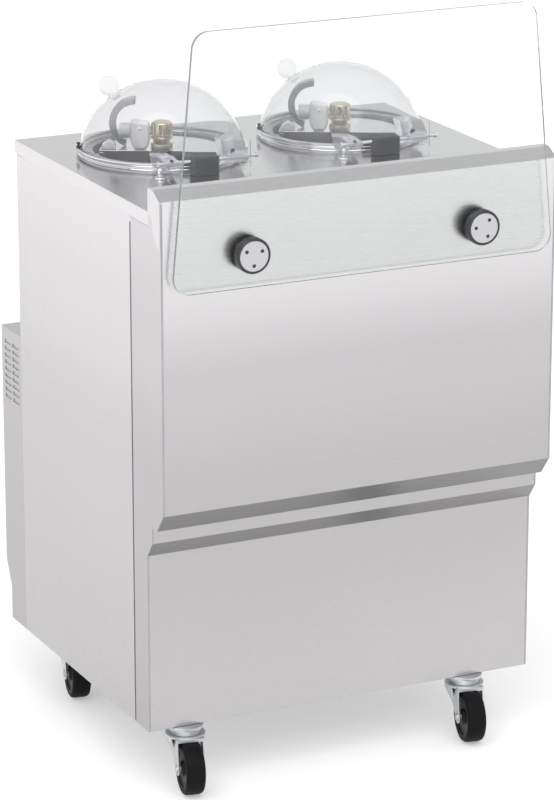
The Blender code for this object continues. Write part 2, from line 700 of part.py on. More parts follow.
def condenser():
    """Finned block in the air window, behind the fan."""
    low, high = AIR_WINDOW
    block = boxes("condenser", [((low[0] + 0.01, REAR_Y + 0.006, low[1] + 0.01),
                                 (high[0] - 0.01, REAR_Y + 0.056, high[1] - 0.01))], "aluminium")
    return block


FAN_CENTRE = (0.0, REAR_Y - 0.045, 0.43)
FAN_SHAFT_RADIUS = 0.005


def fan():
    """Five-bladed fan that pushes air through the condenser."""
    bore = running_bore(FAN_SHAFT_RADIUS, 16)
    hub = turned("condenser_fan", [(0, 0.014), (0.030, 0.014), (0.034, 0.010), (0.034, -0.014),
                                   (bore, -0.014), (bore, 0.006), (0, 0.006)],
                 "aluminium", FAN_CENTRE, (0, 1, 0), steps=16)
    for index in range(5):
        bm = bmesh.new()
        place = (Matrix.Rotation(2 * math.pi * index / 5, 4, "Y")
                 @ Matrix.Translation((0, 0, 0.090)) @ Matrix.Rotation(math.radians(26), 4, "Z"))
        bmesh.ops.create_cube(bm, size=1.0, matrix=place @ Matrix.Diagonal((0.066, 0.003, 0.124, 1)))
        blade = add_object(f"join_blade_{index}", mesh_from(bm, f"blade_{index}"), None)
        blade.location = FAN_CENTRE
        join(hub, blade)
    return hub


def fan_motor():
    """Fan motor on a cross strap."""
    x, y, z = FAN_CENTRE
    motor = turned("fan_motor", [(0, 0.044), (FAN_SHAFT_RADIUS, 0.044), (FAN_SHAFT_RADIUS, 0.0),
                                 (0.032, 0.0),
                                 (0.038, -0.006), (0.038, -0.060), (0, -0.060)],
                   "painted_steel", (x, y - 0.040, z), (0, 1, 0), steps=16)
    strap = boxes("join_motor_strap", [((-0.20, y - 0.075, z - 0.012), (0.20, y - 0.070, z + 0.012))])
    return join(motor, strap)


def electrical_box():
    return bevelled(boxes("electrical_box", [((0.13, setback(0.22), BASE_Z + 0.003 + GAP),
                                              (0.34, setback(0.40), 0.42))], "painted_steel"),
                    0.004, segments=1)


# ---------------------------------------------------------------- operator's controls
PANEL_LOW_Z, PANEL_HIGH_Z = 0.950, 1.040
PANEL_HALF = 0.230
PANEL_THICK = 0.005
BUTTON_RADIUS = 0.014
SWITCH_RADIUS = 0.018
BUTTON_Z = (PANEL_LOW_Z + PANEL_HIGH_Z) / 2


def control_panel():
    """Black plate on the rear panel with round seats for the buttons and the switch."""
    face = REAR_Y + GAP
    plate = boxes("control_panel", [((-PANEL_HALF, face, PANEL_LOW_Z),
                                     (PANEL_HALF, face + PANEL_THICK, PANEL_HIGH_Z))],
                  "black_plastic")
    bevelled(plate, 0.0015, segments=1)
    seats = {"left": (-0.150, BUTTON_RADIUS), "right": (0.150, BUTTON_RADIUS),
             "middle": (0.0, SWITCH_RADIUS)}
    for name, (x, radius) in seats.items():
        cut(plate, cylinder(f"cut_seat_{name}", (x, face - 0.01, BUTTON_Z),
                            (x, face + 0.02, BUTTON_Z), running_bore(radius, 16),
                            segments=16))
    return plate


def start_button(side):
    """Domed push button, proud of the plate."""
    base = 2 * GAP
    return turned(f"start_button_{side}",
                  [(0, 0.0105), (0.008, 0.0098), (BUTTON_RADIUS - 0.001, 0.0085),
                   (BUTTON_RADIUS, 0.007), (BUTTON_RADIUS, base + 0.0038), (0, base + 0.0038)],
                  "green_plastic", (SIDES[side] * 0.150, REAR_Y, BUTTON_Z), (0, 1, 0), steps=16)


def main_switch():
    """Rotary switch with a finger bar."""
    knob = turned("main_switch", [(0, 0.012), (SWITCH_RADIUS - 0.002, 0.012),
                                  (SWITCH_RADIUS, 0.010), (SWITCH_RADIUS, 2 * GAP), (0, 2 * GAP)],
                  "black_plastic", (0, REAR_Y, BUTTON_Z), (0, 1, 0), steps=16)
    bar = boxes("join_finger_bar", [((-0.004, REAR_Y + 0.008, BUTTON_Z - 0.016),
                                     (0.004, REAR_Y + 0.026, BUTTON_Z + 0.016))])
    return join(knob, bar)


# ---------------------------------------------------------------- casters
def swivelled(piece, x, y):
    """Turn a piece, modelled with its caster straight ahead, about the swivel axis."""
    about = Matrix.Translation((x, y, 0)) @ Matrix.Rotation(CASTER_TURN, 4, "Z")
    piece.matrix_world = about @ Matrix.Translation((-x, -y, 0)) @ piece.matrix_basis
    return piece


def caster(end, side):
    """Stem with its ball race, fork with axle, and wheel that stands on a flat facet."""
    x, y = CASTER_X[side], CASTER_Y[end]
    name = f"{end}_{side}"
    race_low = CROWN_Z + 0.0045 + GAP
    turned(f"caster_stem_{name}",
           [(0, BASE_Z + 0.028), (AXLE_RADIUS, BASE_Z + 0.028), (AXLE_RADIUS, BASE_Z - GAP),
            (RACE_RADIUS, BASE_Z - GAP), (RACE_RADIUS, BASE_Z - 0.004), (RACE_RADIUS - 0.004, race_low),
            (0, race_low)], "zinc", (x, y, 0), steps=12)

    axle_y = y - TRAIL
    arm_in, arm_out = WHEEL_WIDTH / 2 + 0.0040, WHEEL_WIDTH / 2 + 0.0070
    crown = cylinder(f"caster_fork_{name}", (x, y, CROWN_Z), (x, y, CROWN_Z + 0.0045),
                     CROWN_RADIUS, "zinc", segments=20)
    boss = arc((axle_y, WHEEL_RADIUS), 0.013, 200, 330, 4)
    crown_join = CROWN_Z + 0.004
    arm_outline = boss + [(y + 0.024, 0.078), (y + 0.026, crown_join), (axle_y - 0.002, crown_join)]
    arms = [slab(f"join_arm_{name}_{sign + 1}", arm_outline,
                 sorted((x + sign * arm_in, x + sign * arm_out))) for sign in (-1, 1)]
    bridge = boxes(f"join_crown_{name}", [((x - arm_out, axle_y - 0.001, CROWN_Z + 0.0002),
                                           (x + arm_out, y + 0.024, CROWN_Z + 0.0038))])
    axle = cylinder(f"join_axle_{name}", (x - arm_out - 0.003, axle_y, WHEEL_RADIUS),
                    (x + arm_out + 0.003, axle_y, WHEEL_RADIUS), AXLE_RADIUS, segments=12)
    join(crown, *arms, bridge, axle)

    half = WHEEL_WIDTH / 2
    facets = 24
    bore = running_bore(AXLE_RADIUS, facets)
    tread = WHEEL_RADIUS / math.cos(math.pi / facets)
    wheel = turned(f"caster_wheel_{name}",
                   [(bore, half), (0.016, half), (0.038, half - 0.003), (0.045, half),
                    (tread, half - 0.008), (tread, 0.008 - half), (0.045, -half),
                    (0.038, 0.003 - half), (0.016, -half), (bore, -half)],
                   "rubber", (x, axle_y, WHEEL_RADIUS), (1, 0, 0), steps=facets,
                   roll=math.pi / facets)
    for part in (crown, *arms, bridge, axle, wheel):
        swivelled(part, x, y)


# ---------------------------------------------------------------- build
upper_front_panel()
lower_front_panel()
deck()
rear_panel()
rear_housing()
base_frame()
glass_guard()
compressor()
condenser()
fan()
fan_motor()
electrical_box()
control_panel()
main_switch()
for hand in SIDES:
    front_cheek(hand)
    side_panel(hand)
    clamp(hand)
    collar(hand)
    bowl(hand)
    agitator(hand)
    scraper(hand)
    shaft_nut(hand)
    drive_shaft(hand)
    gearmotor(hand)
    dome_lid(hand)
    lid_knob(hand)
    hinge(hand)
    start_button(hand)
    for corner_end in CASTER_Y:
        caster(corner_end, hand)
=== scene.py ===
"""Looks of a twin-bowl batch freezer: finishes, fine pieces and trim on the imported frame.

Metres, +Z up. The customer's glass faces -Y, the operator stands at +Y.
"""

import math

import bmesh
import bpy
from mathutils import Matrix, Vector


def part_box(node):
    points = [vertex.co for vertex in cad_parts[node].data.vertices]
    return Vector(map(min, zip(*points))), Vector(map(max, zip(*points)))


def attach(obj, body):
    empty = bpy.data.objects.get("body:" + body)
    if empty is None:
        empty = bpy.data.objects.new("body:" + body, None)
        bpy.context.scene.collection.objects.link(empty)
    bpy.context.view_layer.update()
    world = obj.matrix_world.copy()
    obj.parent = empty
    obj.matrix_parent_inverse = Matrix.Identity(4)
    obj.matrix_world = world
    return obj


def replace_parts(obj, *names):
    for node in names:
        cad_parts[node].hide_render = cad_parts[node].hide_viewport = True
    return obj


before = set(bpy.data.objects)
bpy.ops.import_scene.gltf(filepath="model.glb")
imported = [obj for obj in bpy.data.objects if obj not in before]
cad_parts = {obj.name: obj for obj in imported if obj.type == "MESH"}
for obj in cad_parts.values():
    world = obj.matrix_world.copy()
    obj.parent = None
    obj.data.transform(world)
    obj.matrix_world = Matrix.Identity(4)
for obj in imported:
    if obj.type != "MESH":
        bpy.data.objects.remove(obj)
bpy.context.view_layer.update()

SIDES = {"left": -1, "right": 1}
BODY = "cabinet"

# ---------------------------------------------------------------- places, read from the frame
deck_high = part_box("deck")[1]
front_low, front_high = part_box("upper_front_panel")
cheek_low, cheek_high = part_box("front_cheek_left")
panel_low, panel_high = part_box("side_panel_left")
housing_low, housing_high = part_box("rear_housing")
glass_low, glass_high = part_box("glass_guard")

HALF = deck_high.x
FRONT_Y = front_low.y                # flat front face
BASE_Z = cheek_low.z                 # underside of the cabinet
DECK_Z = deck_high.z
FASCIA_Z = front_high.z
REAR_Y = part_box("rear_panel")[1].y
BACK_Y = housing_high.y
KICK_Y = min(v.co.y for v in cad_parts["lower_front_panel"].data.vertices if v.co.z < 0.3)
GAP = 0.0003                         # between a fine piece and the sheet it stands on


def middle(node):
    low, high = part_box(node)
    return (low + high) / 2


# ---------------------------------------------------------------- materials
class Shader:
    """A Principled material and short calls to wire detail into it."""

    def __init__(self, name, colour, roughness, metallic=0.0, **sockets):
        self.material = bpy.data.materials.new(name)
        self.material.use_nodes = True
        self.nodes = self.material.node_tree.nodes
        self.links = self.material.node_tree.links
        self.bsdf = self.nodes["Principled BSDF"]
        self.colour, self.roughness = colour, roughness
        self.set("Base Color", (*colour, 1.0))
        self.set("Roughness", roughness)
        self.set("Metallic", metallic)
        for socket, value in sockets.items():
            self.set(socket.replace("_", " "), value)

    def set(self, socket, value):
        self.bsdf.inputs[socket].default_value = value

    def coordinates(self, stretch=(1, 1, 1)):
        """Object coordinates, scaled per axis."""
        place = self.nodes.new("ShaderNodeTexCoord")
        scale = self.nodes.new("ShaderNodeMapping")
        scale.inputs["Scale"].default_value = stretch
        self.links.new(place.outputs["Object"], scale.inputs["Vector"])
        return scale.outputs["Vector"]

    def noise(self, size, stretch=(1, 1, 1), detail=2.0, roughness=0.5):
        """Grey noise; size is in features per metre before the stretch."""
        texture = self.nodes.new("ShaderNodeTexNoise")
        texture.inputs["Scale"].default_value = size
        texture.inputs["Detail"].default_value = detail
        texture.inputs["Roughness"].default_value = roughness
        self.links.new(self.coordinates(stretch), texture.inputs["Vector"])
        return texture.outputs["Fac"]

    def spread(self, value, low, high, start=0.3, end=0.7):
        """Map a grey value to low..high."""
        node = self.nodes.new("ShaderNodeMapRange")
        for socket, number in (("From Min", start), ("From Max", end), ("To Min", low),
                               ("To Max", high)):
            node.inputs[socket].default_value = number
        self.links.new(value, node.inputs["Value"])
        return node.outputs["Result"]

    def vary_roughness(self, value, amount):
        self.links.new(self.spread(value, self.roughness - amount, self.roughness + amount),
                       self.bsdf.inputs["Roughness"])
        return self

    def vary_colour(self, value, amount):
        """Lighten and darken the colour by a share of itself."""
        mix = self.nodes.new("ShaderNodeMix")
        mix.data_type = "RGBA"
        dark = [c * (1 - amount) for c in self.colour]
        light = [min(1.0, c * (1 + amount)) for c in self.colour]
        mix.inputs[6].default_value = (*dark, 1)
        mix.inputs[7].default_value = (*light, 1)
        self.links.new(self.spread(value, 0, 1), mix.inputs[0])
        self.links.new(mix.outputs[2], self.bsdf.inputs["Base Color"])
        return self

    def shade(self, stops, socket, low=0.0, high=1.0):
        """Multiply the base colour by a ramp over Z of a texture coordinate output."""
        place = self.nodes.new("ShaderNodeTexCoord")
        split = self.nodes.new("ShaderNodeSeparateXYZ")
        self.links.new(place.outputs[socket], split.inputs["Vector"])
        ramp = self.nodes.new("ShaderNodeValToRGB")
        ramp.color_ramp.interpolation = "EASE"
        for index, (position, grey) in enumerate(stops):
            share = (position - low) / (high - low)
            elements = ramp.color_ramp.elements
            stop = elements[index] if index < 2 else elements.new(share)
            stop.position, stop.color = share, (grey, grey, grey, 1)
        self.links.new(self.spread(split.outputs["Z"], 0, 1, low, high), ramp.inputs["Fac"])
        multiply = self.nodes.new("ShaderNodeMix")
        multiply.data_type, multiply.blend_type = "RGBA", "MULTIPLY"
        multiply.inputs[0].default_value = 1.0
        base = self.bsdf.inputs["Base Color"]
        if base.links:
            self.links.new(base.links[0].from_socket, multiply.inputs[6])
        else:
            multiply.inputs[6].default_value = (*self.colour, 1)
        self.links.new(ramp.outputs["Color"], multiply.inputs[7])
        self.links.new(multiply.outputs[2], base)
        return self

    def bump(self, value, depth, strength=1.0):
        node = self.nodes.new("ShaderNodeBump")
        node.inputs["Strength"].default_value = strength
        node.inputs["Distance"].default_value = depth
        self.links.new(value, node.inputs["Height"])
        self.links.new(node.outputs["Normal"], self.bsdf.inputs["Normal"])
        return self


def brushed(name, colour, roughness, along, amount=0.05, cloud=0.012, depth=0.00001, grade=None,
            tilt=None):
    """Steel with a fine grain that runs along one axis, and faint large clouds.

    grade holds (height, share) stops of painted shade that darken the colour towards the floor,
    standing in for the shadowed floor that the steel reflects; tilt holds (upward lean, share)
    stops of painted shade that darken faces by their lean, such as folds facing down or up.
    """
    stretch = [3600.0, 3600.0, 3600.0]
    stretch["XYZ".index(along)] = 14.0
    shader = Shader(name, colour, roughness, 1.0)
    grain = shader.noise(1.0, stretch, detail=3)
    shader.vary_roughness(grain, amount)
    shader.vary_colour(shader.noise(2.2, detail=2), cloud)
    # painted shade, darker towards the floor
    if grade:
        shader.shade(grade, "Object", 0.0, 1.2)
    # painted shade on faces by their lean
    if tilt:
        shader.shade(tilt, "Normal", -1.0, 1.0)
    return shader.bump(grain, depth, 0.2).material


def polished(name, colour, roughness):
    """Bright metal with faint wiping marks."""
    shader = Shader(name, colour, roughness, 1.0)
    shader.vary_roughness(shader.noise(60, detail=4), roughness * 0.5)
    shader.vary_colour(shader.noise(9, detail=3), 0.03)
    return shader.material


def plastic(name, colour, roughness, grain=900.0, depth=0.00006, specular=0.5):
    """Moulded plastic with a fine grain."""
    shader = Shader(name, colour, roughness, Specular_IOR_Level=specular)
    grey = shader.noise(grain, detail=2)
    shader.vary_roughness(shader.noise(40, detail=3), 0.06)
    shader.vary_colour(shader.noise(25, detail=3), 0.08)
    return shader.bump(grey, depth, 0.4).material


def clear(name, colour, roughness, ior, waviness=0.00002, haze=0.0):
    """Transparent sheet or moulding with a very slight unevenness and some milkiness."""
    shader = Shader(name, colour, roughness, Transmission_Weight=1.0 - haze, IOR=ior)
    return shader.bump(shader.noise(18, detail=1), waviness, 0.2).material


# Painted shade: stops that darken the steel towards the floor and by each face's lean, in place of
# the shadowed floor that the steel reflects. The deck's stops darken its top.
SIDE_PAINTED_SHADE = ((0.12, 0.71), (1.12, 1.0), (0.62, 0.75), (0.90, 0.89))
FRONT_PAINTED_SHADE = ((0.12, 0.72), (1.15, 1.01), (0.55, 0.65), (0.80, 0.72), (1.02, 0.95))
FOLD_PAINTED_SHADE = ((-0.66, 0.54), (0.92, 0.80), (-0.45, 1.0), (0.60, 1.0))
DECK_PAINTED_SHADE = ((0.20, 1.0), (0.95, 0.76))
STEEL = {
    "side": brushed("steel_side", (0.70, 0.69, 0.70), 0.30, "Z", grade=SIDE_PAINTED_SHADE),
    "cheek": brushed("steel_cheek", (0.61, 0.60, 0.61), 0.30, "Z", grade=SIDE_PAINTED_SHADE),
    "front": brushed("steel_front", (0.72, 0.71, 0.72), 0.28, "X", amount=0.012, depth=0.0000015,
                     grade=FRONT_PAINTED_SHADE, tilt=FOLD_PAINTED_SHADE),
    "deck": brushed("steel_deck", (0.70, 0.69, 0.70), 0.18, "X", amount=0.010, depth=0.0000015,
                    tilt=DECK_PAINTED_SHADE),
    "tray": brushed("steel_tray", (0.52, 0.52, 0.53), 0.38, "Y"),
    "disc": brushed("steel_disc", (0.55, 0.55, 0.56), 0.25, "X"),
}
POLISHED = polished("steel_polished", (0.80, 0.80, 0.82), 0.06)
SCOOP = brushed("steel_agitator", (0.78, 0.78, 0.80), 0.12, "Z", amount=0.03)
BOWL_STEEL = brushed("steel_bowl", (0.22, 0.22, 0.24), 0.16, "Z", amount=0.04)
RIBBON = brushed("steel_ribbon", (0.42, 0.42, 0.43), 0.20, "Z", amount=0.04)
ZINC = brushed("zinc_plated", (0.58, 0.60, 0.61), 0.36, "Y", amount=0.08, cloud=0.08)
ALUMINIUM = brushed("aluminium_mill", (0.62, 0.63, 0.64), 0.42, "Z", amount=0.08)
BRASS = polished("brass_machined", (0.62, 0.57, 0.42), 0.20)
DOME = clear("clear_dome", (0.912, 0.914, 0.922), 0.02, 1.30, haze=0.06)
MOULDED = clear("clear_moulding", (0.90, 0.90, 0.94), 0.14, 1.20, haze=0.22)
KNOB = clear("clear_knob", (0.86, 0.86, 0.87), 0.12, 1.12, haze=0.14)
GLASS = clear("float_glass", (0.962, 0.980, 0.972), 0.0, 1.45)
GLASS_EDGE = clear("float_glass_edge", (0.60, 0.69, 0.68), 0.10, 1.30, haze=0.40)
BLACK = plastic("black_plastic", (0.030, 0.034, 0.040), 0.38)
GREY_BLOCK = plastic("dark_grey_plastic", (0.020, 0.027, 0.036), 0.50, specular=0.40)
WHITE = plastic("white_plastic", (0.96, 0.96, 0.96), 0.36)
PALE = plastic("pale_plastic", (0.66, 0.72, 0.71), 0.30)
SEAL = plastic("grey_seal", (0.34, 0.34, 0.35), 0.55)
GASKET = plastic("groove_gasket", (0.42, 0.39, 0.42), 0.60)
LOUVRE = plastic("louvre_grey", (0.50, 0.50, 0.51), 0.60)
DARK = plastic("dark_gap", (0.035, 0.035, 0.038), 0.75)
RUBBER = plastic("black_tread", (0.006, 0.006, 0.007), 0.55, grain=500.0, specular=0.10)
GREEN = plastic("green_button", (0.03, 0.30, 0.09), 0.22)
PAINT = plastic("dark_paint", (0.045, 0.045, 0.050), 0.42, grain=300.0)
SHELL = plastic("black_shell", (0.018, 0.018, 0.020), 0.36, grain=160.0, depth=0.0002)


# ---------------------------------------------------------------- mesh helpers
def piece(name, bm, material, body, bevel=0.0, sharp=32.0):
    """Finish a bmesh as one smooth-shaded piece that rides on a body."""
    bmesh.ops.recalc_face_normals(bm, faces=bm.faces)
    mesh = bpy.data.meshes.new(name)
    bm.to_mesh(mesh)
    bm.free()
    mesh.shade_smooth()
    mesh.set_sharp_from_angle(angle=math.radians(sharp))
    made = bpy.data.objects.new(name, mesh)
    bpy.context.scene.collection.objects.link(made)
    mesh.materials.append(material)
    if bevel:
        round_off = made.modifiers.new("rounding", "BEVEL")
        round_off.width = bevel
        round_off.segments = 3
        round_off.limit_method = "ANGLE"
        round_off.angle_limit = math.radians(30)
        round_off.harden_normals = True
    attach(made, body)
    return made


def facing(direction, origin=(0, 0, 0), roll=0.0):
    """Matrix that turns +Z to a direction and moves to an origin."""
    turn = Vector(direction).to_track_quat("Z", "Y").to_matrix().to_4x4()
    return Matrix.Translation(origin) @ turn @ Matrix.Rotation(roll, 4, "Z")


def arc(centre, radius, start, end, count):
    """Points on an arc, angles in degrees."""
    step = (end - start) / (count - 1)
    turns = [math.radians(start + step * i) for i in range(count)]
    return [(centre[0] + radius * math.cos(a), centre[1] + radius * math.sin(a)) for a in turns]


def revolve(bm, profile, place=Matrix(), steps=96, shape=None):
    """Spin a closed (radius, height) profile about Z; shape(angle, r, z) may move a point."""
    rings = []
    for radius, height in profile:
        if radius < 1e-7:
            rings.append([bm.verts.new(place @ Vector((0, 0, height)))] * steps)
            continue
        ring = []
        for i in range(steps):
            angle = 2 * math.pi * i / steps
            r = shape(angle, radius, height) if shape else radius
            ring.append(bm.verts.new(place @ Vector((r * math.cos(angle), r * math.sin(angle),
                                                     height))))
        rings.append(ring)
    pairs = list(zip(rings, rings[1:]))
    if profile[0][0] > 1e-7:
        pairs.append((rings[-1], rings[0]))
    for low, high in pairs:
        for i in range(steps):
            j = (i + 1) % steps
            corners = []
            for vert in (low[i], low[j], high[j], high[i]):
                if vert not in corners:
                    corners.append(vert)
            if len(corners) > 2:
                bm.faces.new(corners)
    return bm


def turned(name, profile, material, body, place=Matrix(), steps=96, shape=None, sharp=32.0):
    return piece(name, revolve(bmesh.new(), profile, place, steps, shape), material, body,
                 sharp=sharp)


def add_box(bm, low, high, place=Matrix()):
    low, high = Vector(low), Vector(high)
    size = Matrix.Diagonal((*(high - low), 1))
    bmesh.ops.create_cube(bm, size=1.0, matrix=place @ Matrix.Translation((low + high) / 2) @ size)
    return bm


def add_slab(bm, outline, across, axis, place=Matrix()):
    """Push a closed outline along an axis."""
    build = {"X": lambda a, b, c: (c, a, b), "Y": lambda a, b, c: (a, c, b),
             "Z": lambda a, b, c: (a, b, c)}[axis]
    rows = [[bm.verts.new(place @ Vector(build(a, b, c))) for a, b in outline] for c in across]
    bm.faces.new(rows[0])
    bm.faces.new(rows[1][::-1])
    for i in range(len(outline)):
        j = (i + 1) % len(outline)
        bm.faces.new((rows[0][i], rows[1][i], rows[1][j], rows[0][j]))
    return bm


def wire(name, points, radius, material, body):
    """A bent round wire through points."""
    curve = bpy.data.curves.new(name, "CURVE")
    curve.dimensions = "3D"
    curve.bevel_depth = radius
    curve.bevel_resolution = 4
    curve.use_fill_caps = True
    line = curve.splines.new("BEZIER")
    line.bezier_points.add(len(points) - 1)
    for knot, place in zip(line.bezier_points, points):
        knot.co = place
        knot.handle_left_type = knot.handle_right_type = "AUTO"
    curve.materials.append(material)
    made = bpy.data.objects.new(name, curve)
    bpy.context.scene.collection.objects.link(made)
    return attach(made, body)


def finish_node(node, material, bevel=0.0):
    """Give a CAD node that stays its finish, and soften its edges."""
    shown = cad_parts[node]
    shown.data.materials.clear()
    shown.data.materials.append(material)
    if bevel:
        weld = shown.modifiers.new("weld", "WELD")
        weld.merge_threshold = 0.00001
        soften = shown.modifiers.new("rounding", "BEVEL")
        soften.width = bevel
        soften.segments = 2
        soften.limit_method = "ANGLE"
        soften.angle_limit = math.radians(25)


# ---------------------------------------------------------------- cabinet
for node, finish, bevel in (
        ("deck", "deck", 0.0006), ("upper_front_panel", "front", 0.0006),
        ("lower_front_panel", "front", 0.0006), ("front_cheek_left", "cheek", 0.0004),
        ("front_cheek_right", "cheek", 0.0004), ("side_panel_left", "side", 0.0003),
        ("side_panel_right", "side", 0.0003), ("rear_panel", "side", 0.0006),
        ("rear_housing", "cheek", 0.0006), ("base_frame", "tray", 0.0)):
    finish_node(node, STEEL[finish], bevel)


def groove_seal(side):
    """Gasket in the finger groove with its dark lip, and the tab that closes the groove's top."""
    sign = SIDES[side]
    x = sorted((sign * (HALF - 0.0045), sign * (HALF - 0.0022)))
    strip = add_box(bmesh.new(), (x[0], cheek_high.y - 0.004, BASE_Z + 0.001),
                    (x[1], panel_low.y + 0.004, panel_high.z))
    seal = piece(f"groove_seal_{side}", strip, GASKET, BODY, bevel=0.0005)
    x = sorted((sign * (HALF - 0.0024), sign * (HALF - 0.0012)))
    lip = add_box(bmesh.new(), (x[0], cheek_high.y + 0.0001, BASE_Z + 0.001),
                  (x[1], cheek_high.y + 0.0024, panel_high.z - 0.012))
    piece(f"groove_lip_{side}", lip, DARK, BODY, bevel=0.0003)
    x = sorted((sign * (HALF - 0.0020), sign * (HALF - 0.0001)))
    tab = add_box(bmesh.new(), (x[0], cheek_high.y - 0.0002, panel_high.z - 0.010),
                  (x[1], panel_low.y + 0.0002, panel_high.z))
    piece(f"groove_tab_{side}", tab, STEEL["side"], BODY)
    return seal


def slot_backing(side):
    """Inner sheet just behind the side slots of the housing, so that they read as shallow."""
    sign = SIDES[side]
    x = sorted((sign * (HALF - 0.0030), sign * (HALF - 0.0021)))
    bm = add_box(bmesh.new(), (x[0], housing_low.y + 0.004, 0.575), (x[1], BACK_Y - 0.006, 0.722))
    return piece(f"slot_backing_{side}", bm, LOUVRE, BODY)


def fascia_ear(side):
    """Folded flange of the fascia that laps over the cheek."""
    sign = SIDES[side]
    front = FRONT_Y + 0.0012
    outline = [(front + 0.029, FASCIA_Z), (front + 0.0515, FASCIA_Z),
               (front + 0.0515, DECK_Z + 0.001), (front + 0.034, DECK_Z - 0.012),
               (front + 0.030, DECK_Z - 0.030),
               (front + 0.020, DECK_Z - 0.052), (front, DECK_Z - 0.062), (front, FASCIA_Z - 0.0165)]
    bm = add_slab(bmesh.new(), outline, (sign * HALF, sign * (HALF + 0.0009)), "X")
    return piece(f"fascia_ear_{side}", bm, STEEL["side"], BODY, bevel=0.0003)


def edge_trim(side):
    """Grey strip where the front meets the cheek: the cheek's edge, darkened as painted shade for
    the seam's shadow and the bend's dark reflection; and the joggle that closes the skirt's joint.
    """
    sign = SIDES[side]
    x = sorted((sign * (HALF - 0.0040), sign * (HALF - 0.0003)))
    # grey strip: the cheek's edge plus painted shade for the seam's shadow
    bead = bmesh.new()
    for front, low, high in ((FRONT_Y, 0.572, FASCIA_Z - 0.020), (KICK_Y, 0.130, 0.466)):
        add_box(bead, (x[0], front - 0.0004, low), (x[1], front + 0.0010, high))
    piece(f"front_bead_{side}", bead, SEAL, BODY, bevel=0.0003)
    x = sorted((sign * (HALF - 0.0011), sign * (HALF - 0.00005)))
    joggle = add_box(bmesh.new(), (x[0], panel_low.y + 0.0004, panel_high.z - 0.003),
                     (x[1], panel_high.y - 0.0004, panel_high.z + 0.004))
    return piece(f"skirt_joggle_{side}", joggle, STEEL["side"], BODY)


for hand in SIDES:
    groove_seal(hand)
    slot_backing(hand)
    fascia_ear(hand)
    edge_trim(hand)

# ---------------------------------------------------------------- customer glass


def glass_guard():
    """Pane with polished rounded corners, its rim a darker green than its faces."""
    low, high = glass_low, glass_high
    half_low = high.x
    half_top = max(v.co.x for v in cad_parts["glass_guard"].data.vertices
                   if v.co.z > high.z - 0.0005) + 0.0295
    corner = 0.032
    corners = [Vector((-half_low, low.z)), Vector((half_low, low.z)),
               Vector((half_top, high.z)), Vector((-half_top, high.z))]
    outline = []
    for index, here in enumerate(corners):
        before = (corners[index - 1] - here).normalized()
        after = (corners[(index + 1) % 4] - here).normalized()
        half_angle = before.angle(after) / 2
        centre = here + (before + after).normalized() * (corner / math.sin(half_angle))
        start = here + before * (corner / math.tan(half_angle)) - centre
        sweep = math.pi - 2 * half_angle
        outline += [tuple(centre + Matrix.Rotation(sweep * step / 15, 2) @ start)
                    for step in range(16)]
    bm = add_slab(bmesh.new(), outline, (low.y, high.y), "Y")
    pane = piece("glass_pane", bm, GLASS, BODY, bevel=0.0008)
    pane.data.materials.append(GLASS_EDGE)
    for face in pane.data.polygons:
        if abs(face.normal.y) < 0.5:
            face.material_index = 1
    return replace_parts(pane, "glass_guard")


def clamp(side):
    """Washers, black body and steel face with three spanner holes, round the glass's hole."""
    centre = middle(f"clamp_body_{side}")
    low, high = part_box(f"clamp_body_{side}")
    ahead = facing((0, -1, 0), (centre.x, FRONT_Y, centre.z))
    start, end = FRONT_Y - high.y, FRONT_Y - low.y
    radius = high.x - centre.x
    face_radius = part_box(f"clamp_face_{side}")[1].x - centre.x
    rim = ([(face_radius + 0.0002, end - 0.003)]
           + arc((face_radius + 0.0022, end - 0.002), 0.002, 180, 90, 5)
           + arc((radius - 0.004, end - 0.004), 0.004, 90, 0, 7)
           + [(radius, start + 0.003), (radius - 0.0006, start + 0.0026),
              (radius - 0.0006, start + 0.0018), (radius, start + 0.0014), (radius, start),
              (0.0, start)])
    body = turned(f"clamp_shell_{side}", [(0.0, end - 0.003)] + rim, BLACK, BODY,
                  ahead, 64)
    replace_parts(body, f"clamp_body_{side}")
    washer = [(0.0290, start), (0.0290, start - 0.0003), (0.008, start - 0.0003), (0.008, start)]
    turned(f"clamp_washer_{side}", washer, SEAL, BODY, ahead, 48)

    bm = bmesh.new()
    disc = ([(0.0, end - 0.0006), (face_radius - 0.0012, end - 0.0006)]
            + arc((face_radius - 0.0012, end - 0.0018), 0.0012, 90, 0, 4)
            + [(face_radius, end - 0.0028), (0.0, end - 0.0028)])
    revolve(bm, disc, ahead, 64)
    face = piece(f"clamp_disc_{side}", bm, STEEL["disc"], BODY)
    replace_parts(face, f"clamp_face_{side}")
    # Each spanner hole is a flush dark disc on the steel face: painted shade for the hole's depth.
    for index in range(3):
        angle = math.radians({"left": 28, "right": 55}[side] + 120 * index)
        spot = centre + Vector((0.0175 * math.cos(angle), 0, 0.0175 * math.sin(angle)))
        spot.y = FRONT_Y - end + 0.0006
        hole = [(0.0, 0.00008), (0.0026, 0.00008), (0.0031, 0.0003), (0.0034, 0.0003),
                (0.0036, -0.001), (0.0, -0.001)]
        turned(f"clamp_hole_{side}_{index}", hole, DARK, BODY,
               facing((0, -1, 0), spot), 24)

    back = [(0.0, 0.0096), (0.006, 0.0096), (0.0248, 0.0096), (0.026, 0.0086), (0.026, 0.0013),
            (0.0248, GAP), (0.0, GAP)]
    spacer = turned(f"clamp_spacer_{side}", back, BLACK, BODY, ahead, 48)
    stud = [(0.0, 0.0238), (0.006, 0.0238), (0.006, -0.012), (0.0, -0.012)]
    stud = turned(f"clamp_stud_{side}", stud, STEEL["tray"], BODY, ahead, 32)
    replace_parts(stud, f"clamp_standoff_{side}")
    return spacer


glass_guard()
for hand in SIDES:
    clamp(hand)

